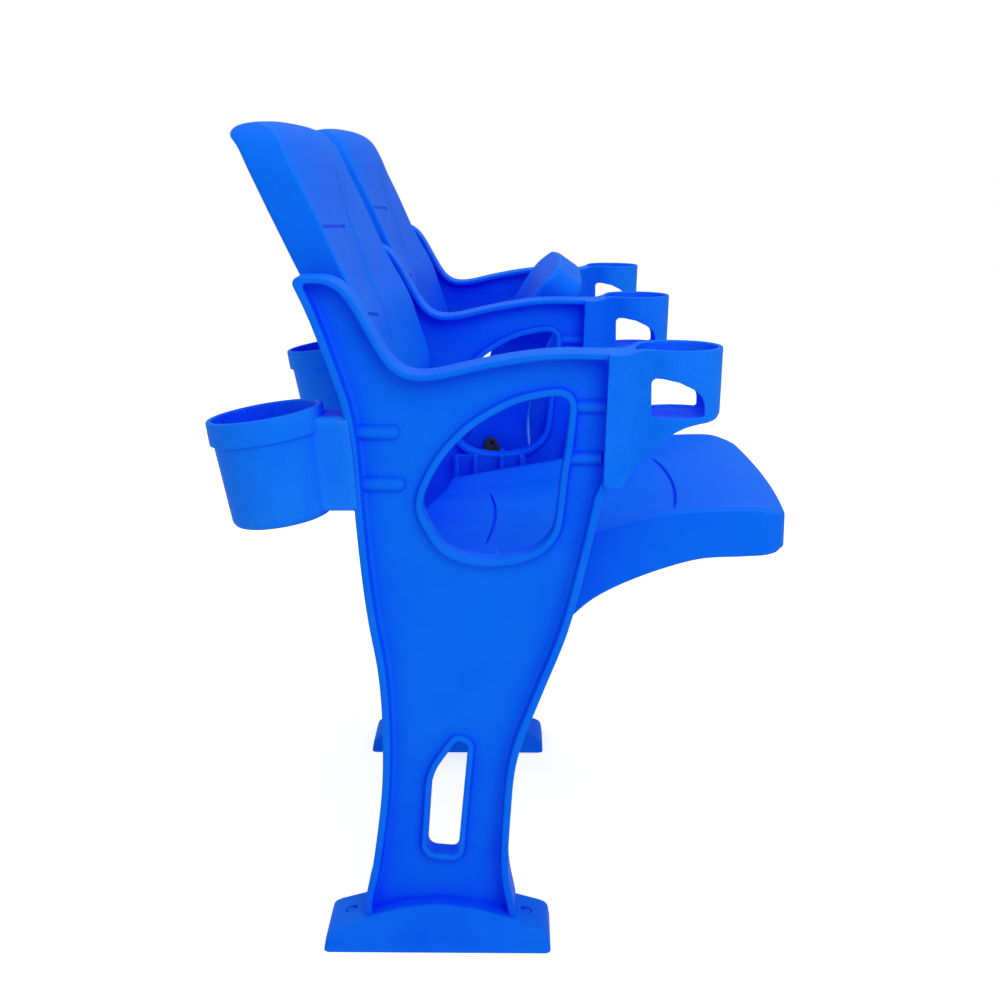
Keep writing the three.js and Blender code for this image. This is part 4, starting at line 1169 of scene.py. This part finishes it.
def rear_cup_mesh():
    profile = soft_profile(from_mm(REAR_CUP_PROFILE), [r * MM for r in REAR_CUP_RADII])
    cup = moved(lathe("rear_cup_body", profile, 96, 50), REAR_CUP_PLACE)
    bore = moved(lathe("bore", from_mm(REAR_BORE), 36), Matrix.Rotation(-math.pi / 2, 4, "Y"))
    bores = [shifted(bore, x + FIT_GAP, 0, z) for x, z in map(on_standard, REAR_SCREW_SHARES)]
    half = FLANGE_HALF + REAR_NOTCH_GAP
    notch = prism("flange_notch", standard_ring(-REAR_NOTCH_GAP), -half, half)
    return joined("rear_cup", carved(cup, bores, 40), carved(rear_bracket_mesh(), [*bores, notch], 40))


# What seats and backs share

def mark_edge_highlight(mesh, distance, from_parting):
    """Stores how much painted edge highlight each vertex gets: most along the outline, and not at all where
    the halves meet.
    """
    points = np.array([vertex.co for vertex in mesh.vertices])
    inside = distance(points)
    wear = np.clip(1 - np.abs(inside - HIGHLIGHT_PLACE) / HIGHLIGHT_REACH, 0, 1)
    wear *= (inside > HIGHLIGHT_SIDE) & (np.abs(from_parting(points)) > HIGHLIGHT_PARTING)
    stored = mesh.attributes.new("wear", "FLOAT", "POINT")
    stored.data.foreach_set("value", wear.astype(np.float32))
    return mesh


def table_line(shares, column=1, scale=1.0):
    line = spline([(s[0], s[column]) for s in shares], per_span=24)
    return line[:, 0], line[:, 1] * scale


def groove_cutter(name, spots, across, out, halves, depths, section):
    """A cutter for a shallow groove along spots on a surface, with the way across it and the way out."""
    mouth, floor, proud = section
    rings = []
    for spot, side, half, depth in zip(spots, across, halves, depths):
        rings.append([
            spot - side * half * mouth + out * proud,
            spot - side * half * floor - out * depth,
            spot + side * half * floor - out * depth,
            spot + side * half * mouth + out * proud,
        ])
    return Shape().solid(rings).mesh(name)


def rounded_distance(u, v, corner_u, corner_v, radius, straight):
    """How far in from a straight outline, or from its round corner, a point is."""
    in_corner = (u > corner_u) & (v > corner_v)
    return np.where(in_corner, radius - np.hypot(u - corner_u, v - corner_v), straight)


# Seats

def seat_nose(y):
    corner = corner_cut(np.abs(y), SEAT_HALF - SEAT_CORNER, SEAT_CORNER)
    return SEAT_NOSE - SEAT_BOW * (y / SEAT_HALF) ** 2 - corner


def seat_rear(y):
    taper = np.clip(np.abs(y) - SEAT_FLAT, 0, None) / (SEAT_HALF - SEAT_FLAT)
    corner = corner_cut(np.abs(y), SEAT_HALF - SEAT_REAR_CORNER, SEAT_REAR_CORNER)
    return SEAT_TAPER * taper - SEAT_REAR + corner


def seat_edge_distance(x, y):
    """How far a point of the seat is from its outline in the plan."""
    a = np.abs(y)
    ahead = np.minimum(SEAT_HALF - a, SEAT_NOSE - SEAT_BOW * (y / SEAT_HALF) ** 2 - x)
    corner_x, corner_y = SEAT_NOSE - SEAT_BOW - SEAT_CORNER, SEAT_HALF - SEAT_CORNER
    front = rounded_distance(x, a, corner_x, corner_y, SEAT_CORNER, ahead)
    rear = (x - seat_rear(y)) * SEAT_REAR_SLANT
    return np.maximum(np.minimum(front, rear), 0)


SEAT_TOP_LINE = table_line(SEAT_TOP_SHARES, scale=SEAT_RISE)
SEAT_UNDERSIDE_LINE = table_line(SEAT_UNDERSIDE_SHARES, scale=SEAT_DROP)
SEAT_DISH_LINE = table_line(SEAT_DISH_SHARES, scale=SEAT_DISH)


def seat_across(y):
    """How much of the dish there is across the seat: none on the borders."""
    inside = np.clip((SEAT_HALF - SEAT_BORDER - np.abs(y)) / SEAT_DISH_RUN, 0, 1)
    return 1 - (1 - inside) ** SEAT_DISH_POWER


def seat_top(x, y):
    at = x / SEAT_NOSE
    return np.interp(at, *SEAT_TOP_LINE) - np.maximum(np.interp(at, *SEAT_DISH_LINE), 0) * seat_across(y)


def seat_underside(x):
    return np.interp(x / SEAT_NOSE, *SEAT_UNDERSIDE_LINE)


def seat_parting(x):
    """Where the two halves meet, between the underside and the border's top."""
    low, high = seat_underside(x), seat_top(x, SEAT_HALF)
    return low + (high - low) * SEAT_PARTING_SHARE


def seat_grid():
    half = np.concatenate([
        np.arange(0, SEAT_HALF - SEAT_CORNER, GRID_STEP),
        SEAT_HALF - SEAT_CORNER + SEAT_CORNER * np.sin(CORNER_ANGLES),
        SEAT_HALF - SEAT_BORDER + SEAT_BORDER_STEPS,
        SEAT_HALF - EDGE_STEPS[1:6],
    ])
    half = np.unique(np.round(half, 6))
    ys = np.concatenate([-half[:0:-1], half])
    rear, nose = seat_rear(ys), seat_nose(ys)
    inner_rear, inner_nose = rear + EDGE_STEPS[-1], nose - SEAT_NOSE_BORDER
    rows = [rear + step for step in EDGE_STEPS]
    rows += [inner_rear + (inner_nose - inner_rear) * t for t in np.linspace(0, 1, SEAT_ROWS)[1:]]
    rows += [nose - step for step in (*SEAT_NOSE_STEPS, *EDGE_STEPS[-2::-1])]
    xs = np.array(rows)
    return xs, np.broadcast_to(ys, xs.shape)


def seat_cutter(x, y, size, groove):
    """A groove in the seat's top through places in the plan, each with a size from 0 to 1."""
    half, depth = groove
    across = outward(np.gradient(np.column_stack([x, y]), axis=0))
    return groove_cutter(
        "seat_groove",
        np.column_stack([x, y, seat_top(x, y)]),
        np.column_stack([across, np.zeros(len(x))]),
        np.array([0, 0, 1]),
        half * np.minimum(1, size * SEAT_GROOVE_GROWTH[0]) + SEAT_GROOVE_LEAST[0],
        depth * np.minimum(1, size * SEAT_GROOVE_GROWTH[1]) + SEAT_GROOVE_LEAST[1],
        SEAT_CUTTER,
    )


def seat_arc(reach, half_length):
    """A curved groove across the dish."""
    y = np.linspace(-half_length, half_length, 61)
    size = np.sqrt(np.maximum(1 - (y / half_length) ** 2, 0))
    return seat_cutter(reach - SEAT_ARC_BOW * (y / SEAT_ARC_BOW_HALF) ** 2, y, size, SEAT_ARC_SIZE)


def seat_crease(side):
    """A fine crease where the dish meets the border."""
    rear, front = SEAT_CREASE_REACH
    x = np.linspace(rear, front, 80)
    from_rear = (x - rear + GROOVE_MARGIN) / SEAT_CREASE_TAPERS[0]
    from_front = (front + GROOVE_MARGIN - x) / SEAT_CREASE_TAPERS[1]
    size = np.minimum(1, np.minimum(from_front, from_rear))
    return seat_cutter(x, np.full(len(x), side * (SEAT_HALF - SEAT_BORDER)), size, SEAT_CREASE_SIZE)


def seat_meshes():
    """The shell above the parting line, and the base below it."""
    xs, ys = seat_grid()
    inside = seat_edge_distance(xs, ys)
    parting = seat_parting(xs)

    def surface(z):
        return np.dstack([PIVOT_X + xs, ys, PIVOT_Z + z])

    def distance(points):
        return seat_edge_distance(points[:, 0] - PIVOT_X, points[:, 1])

    def from_parting(points):
        return points[:, 2] - PIVOT_Z - seat_parting(points[:, 0] - PIVOT_X)

    top = surface(seat_top(xs, ys) - edge_drop(inside, SEAT_TOP_ROUND))
    under = surface(seat_underside(xs) + edge_drop(inside, SEAT_UNDER_ROUND))
    shell = block(top, surface(parting + PARTING_GAP)).mesh("seat_shell")
    base = block(surface(parting - PARTING_GAP), under).mesh("seat_base", 40)
    grooves = [seat_arc(*arc) for arc in SEAT_ARCS] + [seat_crease(side) for side in (-1, 1)]
    shell = carved(shell, [shifted(groove, PIVOT_X, 0, PIVOT_Z) for groove in grooves], 38)
    # Both halves store where their edge highlight is painted.
    return mark_edge_highlight(shell, distance, from_parting), mark_edge_highlight(base, distance, from_parting)


# Backs

BACK_FRONT_LINE = table_line(BACK_SHARES, 1, BACK_DEPTH)
BACK_REAR_LINE = table_line(BACK_SHARES, 2, BACK_DEPTH)
BACK_DISH_LINE = table_line(BACK_DISH_SHARES, 1, BACK_DISH)
BACK_ACROSS_LINE = table_line(BACK_ACROSS_SHARES)


def back_share(z):
    return (z - BACK_BOTTOM) / (BACK_TOP - BACK_BOTTOM)


def back_front(y, z):
    at = back_share(z)
    across = np.interp(np.abs(y) / BACK_HALF, *BACK_ACROSS_LINE)
    return BACK_X - np.interp(at, *BACK_FRONT_LINE) + np.interp(at, *BACK_DISH_LINE) * across


def back_rear(z):
    return BACK_X - np.interp(back_share(z), *BACK_REAR_LINE)


def back_parting(z):
    """Where the two halves meet, midway through the back's sides."""
    return (back_front(BACK_HALF, z) + back_rear(z)) / 2


def back_grid():
    zs = np.unique(np.round(np.concatenate([
        BACK_BOTTOM + EDGE_STEPS,
        np.arange(BACK_BOTTOM + BACK_GRID_BORDER, BACK_TOP - BACK_CORNER, GRID_STEP),
        BACK_TOP - BACK_CORNER + BACK_CORNER * np.sin(CORNER_ANGLES),
    ]), 6))
    share = np.unique(np.round(np.concatenate([
        np.linspace(0, 1 - BACK_GRID_BORDER / BACK_HALF, BACK_COLUMNS), 1 - EDGE_STEPS / BACK_HALF,
    ]), 6))
    share = np.concatenate([-share[:0:-1], share])
    half = BACK_HALF - corner_cut(zs, BACK_TOP - BACK_CORNER, BACK_CORNER)
    half -= corner_cut(BACK_BOTTOM + BACK_FOOT_CORNER - zs, 0, BACK_FOOT_CORNER)
    return np.outer(half, share), np.broadcast_to(zs[:, None], (len(zs), len(share)))


def crown_drop(y, z):
    """How far the top edge curves down towards the sides."""
    rise = np.clip((z - BACK_CROWN_START) / (BACK_TOP - BACK_CROWN_START), 0, 1)
    return BACK_CROWN * (y / BACK_HALF) ** 2 * rise**2


def back_edge_distance(y, z):
    """How far a point of the back is from its outline, seen from the front."""
    a = np.abs(y)
    straight = np.minimum(np.minimum(BACK_HALF - a, BACK_TOP - z), z - BACK_BOTTOM)
    corner_y, corner_z = BACK_HALF - BACK_CORNER, BACK_TOP - BACK_CORNER
    return np.maximum(rounded_distance(a, z, corner_y, corner_z, BACK_CORNER, straight), 0)


def back_cutter(name, y, z, size, groove, across):
    """A groove in the back's front through places seen from the front, each with a size."""
    half, depth = groove
    spots = np.column_stack([back_front(y, z), y, z])
    sides = np.tile(across, (len(z), 1))
    return groove_cutter(
        name, spots, sides, np.array([1, 0, 0]), half * size, depth * np.minimum(1, size), BACK_CUTTER
    )


def back_groove():
    """The upright groove down the back's middle."""
    low, high = BACK_GROOVE_REACH
    z = np.linspace(low, high, 56)
    to_end = np.minimum(z - low, high - z) + GROOVE_MARGIN
    size = np.minimum(1, to_end / BACK_GROOVE_TAPER) + BACK_GROOVE_LEAST
    return back_cutter("back_groove", np.zeros(len(z)), z, size, BACK_GROOVE_SIZE, (0, 1, 0))


def back_slot(outer, inner):
    """A short cross groove, square at its outer end and round at its inner end."""
    length = inner[0] - outer[0]
    t = np.concatenate([
        np.linspace(0, BACK_SLOT_END, 5),
        np.linspace(BACK_SLOT_CLEAR, length - BACK_SLOT_CLEAR, 32),
        np.linspace(length - BACK_SLOT_END, length, 6),
    ])
    from_round = np.maximum(1 - (length - t) / BACK_SLOT_END, 0)
    size = np.sqrt(np.maximum(1 - from_round**2, BACK_SLOT_LEAST))
    z = outer[1] + (inner[1] - outer[1]) * t / length
    return back_cutter("back_slot", outer[0] + t, z, size, BACK_SLOT_SIZE, (0, 0, 1))


def back_meshes():
    """The shell ahead of the parting line, and the cover behind it."""
    ys, zs = back_grid()
    inside = back_edge_distance(ys, zs)
    parting = back_parting(zs)
    crowned = zs - crown_drop(ys, zs)

    def surface(x):
        return np.dstack([x, ys, crowned])

    def uncrowned(points):
        return points[:, 2] + crown_drop(points[:, 1], points[:, 2])

    def distance(points):
        return back_edge_distance(points[:, 1], uncrowned(points))

    def from_parting(points):
        return points[:, 0] - back_parting(uncrowned(points))

    front = surface(back_front(ys, zs) - edge_drop(inside, BACK_FRONT_ROUND))
    rear = surface(back_rear(zs) + edge_drop(inside, BACK_REAR_ROUND))
    shell = block(front, surface(parting + PARTING_GAP)).mesh("back_shell")
    cover = block(surface(parting - PARTING_GAP), rear).mesh("back_cover", 40)
    shell = carved(shell, [back_groove()] + [back_slot(*ends) for ends in BACK_SLOTS], 38)
    # Both halves store where their edge highlight is painted.
    return mark_edge_highlight(shell, distance, from_parting), mark_edge_highlight(cover, distance, from_parting)


# Hinges and brackets

def across_from(side, first, last):
    """The lower and the higher y of a part beside a standard's middle plane."""
    return (side * first, side * last) if side > 0 else (side * last, side * first)


def bracket_mesh(side):
    outline = corner_outline(anticlockwise([on_standard(s) for s in BRACKET_SHARES]), BRACKET_RADIUS)
    return slab("back_bracket", outline, *across_from(side, WEB_FACE, BACK_SIDE_Y - FIT_GAP), PLATE_BEVEL)


def arm_mesh(side):
    """The black plate that carries the seat: a rounded triangle with its pin bore and a small hole."""
    x = PIVOT_X + ARM_LENGTH * math.cos(ARM_ANGLE) + PLATE_TIP_SHIFT[0]
    z = PIVOT_Z + ARM_LENGTH * math.sin(ARM_ANGLE) + PLATE_TIP_SHIFT[1]
    circles = [
        (x, z, PLATE_TIP_RADIUS),
        (x + PLATE_LOBE_SHIFT[0], z + PLATE_LOBE_SHIFT[1], PLATE_LOBE_RADIUS),
        (PIVOT_X, PIVOT_Z, ARM_PIVOT_RADIUS),
    ]
    holes = [
        round_outline(PIVOT_X, PIVOT_Z, PIN_BORE_RADIUS, 40),
        round_outline(x + PLATE_HOLE_SHIFT[0], z + PLATE_HOLE_SHIFT[1], PLATE_HOLE_RADIUS, 28),
    ]
    low, high = across_from(side, ARM_FACE, ARM_END)
    return slab("seat_arm", lambda growth: hull(circles, growth), low, high, ARM_BEVEL, holes)


def stop_spot(angle, away):
    """Where a stop lug stands beside the arm at this angle."""
    half_arm = ARM_PIVOT_RADIUS + (ARM_TIP_RADIUS - ARM_PIVOT_RADIUS) * STOP_DISTANCE / ARM_LENGTH
    offset = away * (half_arm + STOP_RADIUS + STOP_GAP)
    return (
        PIVOT_X + STOP_DISTANCE * math.cos(angle) - offset * math.sin(angle),
        PIVOT_Z + STOP_DISTANCE * math.sin(angle) + offset * math.cos(angle),
    )


def housing_mesh(side):
    """A ribbed plate on the standard's web, with a boss for the pin and two stop lugs."""
    plate = corner_outline(
        rectangle(HOUSING_REAR, HOUSING_REAR + HOUSING_LENGTH, *HOUSING_HEIGHTS), HOUSING_CORNER
    )
    parts = [slab("plate", plate, *across_from(side, WEB_FACE, HOUSING_PLATE_FACE), PLATE_BEVEL)]
    low, high = across_from(side, WEB_FACE + HOUSING_LAP, HOUSING_FACE)
    for share in HOUSING_RIB_SHARES:
        x = HOUSING_REAR + share * HOUSING_LENGTH
        corners = rectangle(x - HOUSING_RIB_HALF, x + HOUSING_RIB_HALF, *HOUSING_RIB_HEIGHTS)
        parts.append(slab("rib", corner_outline(corners, HOUSING_RIB_CORNER, 4), low, high, SMALL_BEVEL))
    boss = round_outline(PIVOT_X, PIVOT_Z, HOUSING_BOSS_RADIUS, 48)
    bore = round_outline(PIVOT_X, PIVOT_Z, PIN_BORE_RADIUS, 48)
    parts.append(slab("boss", boss, low, high, BOSS_BEVEL, [bore]))
    low, high = across_from(side, WEB_FACE + HOUSING_LAP, ARM_END)
    for spot in (stop_spot(ARM_ANGLE, -1), stop_spot(ARM_ANGLE + TIP_ANGLE, 1)):
        parts.append(slab("stop", round_outline(*spot, STOP_RADIUS, 28), low, high, SMALL_BEVEL))
    return joined("hinge_housing", *parts)


def pin_mesh(side):
    low, high = across_from(side, HOUSING_FACE - PIN_OVERLAP, ARM_END)
    return slab("hinge_pin", round_outline(PIVOT_X, PIVOT_Z, PIN_RADIUS, 48), low, high, SMALL_BEVEL)


def spring_mesh(side):
    """A coil round the pin, between the housing and the arm."""
    t = np.linspace(0, 1, 140)
    angles = t * SPRING_TURNS * 2 * math.pi
    path = np.column_stack([
        PIVOT_X + SPRING_RADIUS * np.cos(angles),
        side * (HOUSING_FACE + SPRING_INSET + (ARM_FACE - HOUSING_FACE - 2 * SPRING_INSET) * t),
        PIVOT_Z + SPRING_RADIUS * np.sin(angles),
    ])
    return tube("spring", path, SPRING_WIRE_RADIUS, 12)


# The row

standard = standard_mesh()
foot = foot_mesh()
armrest = armrest_mesh()
rear_cup = rear_cup_mesh()
anchor_bolt = anchor_bolt_mesh()
screws = {
    "armrest": (socket_screw_mesh("armrest_screw", *ARMREST_SCREW), FRONT_SCREW_SHARES),
    "rear_cup": (socket_screw_mesh("rear_cup_screw", *REAR_CUP_SCREW), REAR_SCREW_SHARES),
}

for spot in PLACES:
    y = STANDARD_Y[spot]
    place(f"{spot}_standard_frame", standard, BLUE, f"{spot}_standard", "casting", y=y)
    place(f"{spot}_foot_block", foot, BLUE, f"{spot}_foot", "casting", y=y)
    place(f"{spot}_armrest_cup", armrest, CUP_BLUE, f"{spot}_armrest", "cup_plastic", y=y)
    place(f"{spot}_deep_rear_cup", rear_cup, CUP_BLUE, f"{spot}_rear_cup", "cup_plastic", y=y)
    for end, x in ANCHOR_X.items():
        bolt = place(f"{spot}_{end}_anchor", anchor_bolt, BLUE, f"{spot}_{end}_anchor_bolt", "casting")
        bolt.matrix_world = Matrix.Translation((x, y, ANCHOR_SEAT))
    for kind, (mesh, shares) in screws.items():
        for level, share in zip(("upper", "lower"), shares):
            x, z = on_standard(share)
            node = f"{spot}_{level}_{kind}_screw"
            screw = place(f"{spot}_{level}_{kind}_socket_screw", mesh, STEEL, node, "fastener")
            screw.matrix_world = Matrix.Translation((x, y, z))

seat_shell, seat_base = seat_meshes()
back_shell, back_cover = back_meshes()
hinge_parts = {
    hand: {
        "arm": arm_mesh(side),
        "housing": housing_mesh(side),
        "pin": pin_mesh(side),
        "spring": spring_mesh(side),
        "bracket": bracket_mesh(side),
    }
    for hand, side in HANDS.items()
}
tip_up = (
    Matrix.Translation((PIVOT_X, 0, PIVOT_Z))
    @ Matrix.Rotation(-TIP_ANGLE, 4, "Y")
    @ Matrix.Translation((-PIVOT_X, 0, -PIVOT_Z))
)

for seat in SEATS:
    y = SEAT_Y[seat]
    tipped = tip_up if seat == "far" else Matrix.Identity(4)
    body = f"{seat}_seat"
    for part, mesh in (("shell", seat_shell), ("base", seat_base)):
        node = f"{seat}_seat_{part}"
        place(f"{node}_moulding", moved(mesh, tipped), SEAT_BLUE, node, "seat_plastic", body, y)
    for part, mesh in (("shell", back_shell), ("cover", back_cover)):
        node = f"{seat}_back_{part}"
        place(f"{node}_moulding", mesh, SEAT_BLUE, node, "seat_plastic", y=y)
    for hand in HANDS:
        parts = hinge_parts[hand]
        y = STANDARD_Y[SEAT_SIDE_STANDARD[seat, hand]]
        name = f"{seat}_seat_{hand}"
        place(f"{name}_arm_plate", moved(parts["arm"], tipped), BLACK, f"{name}_arm", "arm", body, y)
        place(f"{name}_ribbed_housing", parts["housing"], BLUE, f"{name}_hinge_housing", "casting", y=y)
        place(f"{name}_pivot_pin", parts["pin"], STEEL, f"{name}_hinge_pin", "fastener", y=y)
        place(f"{name}_coil_spring", parts["spring"], STEEL, f"{name}_spring", "fastener", y=y)
        bracket = f"{seat}_back_{hand}_bracket"
        place(f"{bracket}_block", parts["bracket"], BLUE, bracket, "casting", y=y)


# Floor, light and camera

def seen_by_camera(nodes, links, other_ray):
    """One for the camera's rays and for another kind of ray, and zero for the rest."""
    path = nodes.new("ShaderNodeLightPath")
    seen = nodes.new("ShaderNodeMath")
    seen.operation = "MAXIMUM"
    links.new(path.outputs["Is Camera Ray"], seen.inputs[0])
    links.new(path.outputs[other_ray], seen.inputs[1])
    return seen.outputs[0]


def white_for_camera(name):
    """A pale floor that reads as white to the camera and keeps the object's shadow."""
    look = Look(name)
    look.shader.inputs["Base Color"].default_value = (FLOOR_GREY, FLOOR_GREY, FLOOR_GREY, 1)
    look.shader.inputs["Roughness"].default_value = 0.9
    look.shader.inputs["Specular IOR Level"].default_value = 0.0
    light = look.node("ShaderNodeEmission", Color=(1, 1, 1, 1))
    strength = look.nodes.new("ShaderNodeMath")
    strength.operation = "MULTIPLY"
    strength.inputs[1].default_value = FLOOR_GLOW
    look.links.new(seen_by_camera(look.nodes, look.links, "Is Glossy Ray"), strength.inputs[0])
    look.links.new(strength.outputs[0], light.inputs["Strength"])
    total = look.nodes.new("ShaderNodeAddShader")
    look.links.new(look.shader.outputs[0], total.inputs[0])
    look.links.new(light.outputs[0], total.inputs[1])
    look.links.new(total.outputs[0], look.nodes["Material Output"].inputs["Surface"])
    return look.material


disc = Shape()
disc.fan(disc.add(np.column_stack([circle(0, 0, FLOOR_RADIUS, 96), np.full(96, -FLOOR_DROP)])))
floor = linked("floor", disc.mesh("floor"))
floor.data.materials.append(white_for_camera("white_floor"))

world = bpy.data.worlds.new("studio")
bpy.context.scene.world = world
world.use_nodes = True
nodes, links = world.node_tree.nodes, world.node_tree.links
background = nodes["Background"]
background.inputs["Color"].default_value = (1, 1, 1, 1)
level = nodes.new("ShaderNodeMapRange")
level.inputs["To Min"].default_value = WORLD_LEVEL
level.inputs["To Max"].default_value = 1.0
links.new(seen_by_camera(nodes, links, "Is Transmission Ray"), level.inputs["Value"])
links.new(level.outputs["Result"], background.inputs["Strength"])

for name, (location, size, power) in LIGHTS.items():
    lamp = bpy.data.lights.new(name, "AREA")
    lamp.size = size
    lamp.energy = power
    light = linked(name, lamp)
    light.location = location
    light.rotation_euler = (LIGHT_TARGET - Vector(location)).to_track_quat("-Z", "Y").to_euler()

camera_data = bpy.data.cameras.new("camera")
camera_data.sensor_width = CAMERA_SENSOR
camera_data.lens = CAMERA_LENS
camera_data.clip_end = CAMERA_REACH
camera = linked("camera", camera_data)
camera.location = CAMERA_PLACE
camera.rotation_euler = (CAMERA_PITCH, 0, CAMERA_HEADING)
bpy.context.scene.camera = camera
bpy.context.scene.view_settings.view_transform = "Standard"
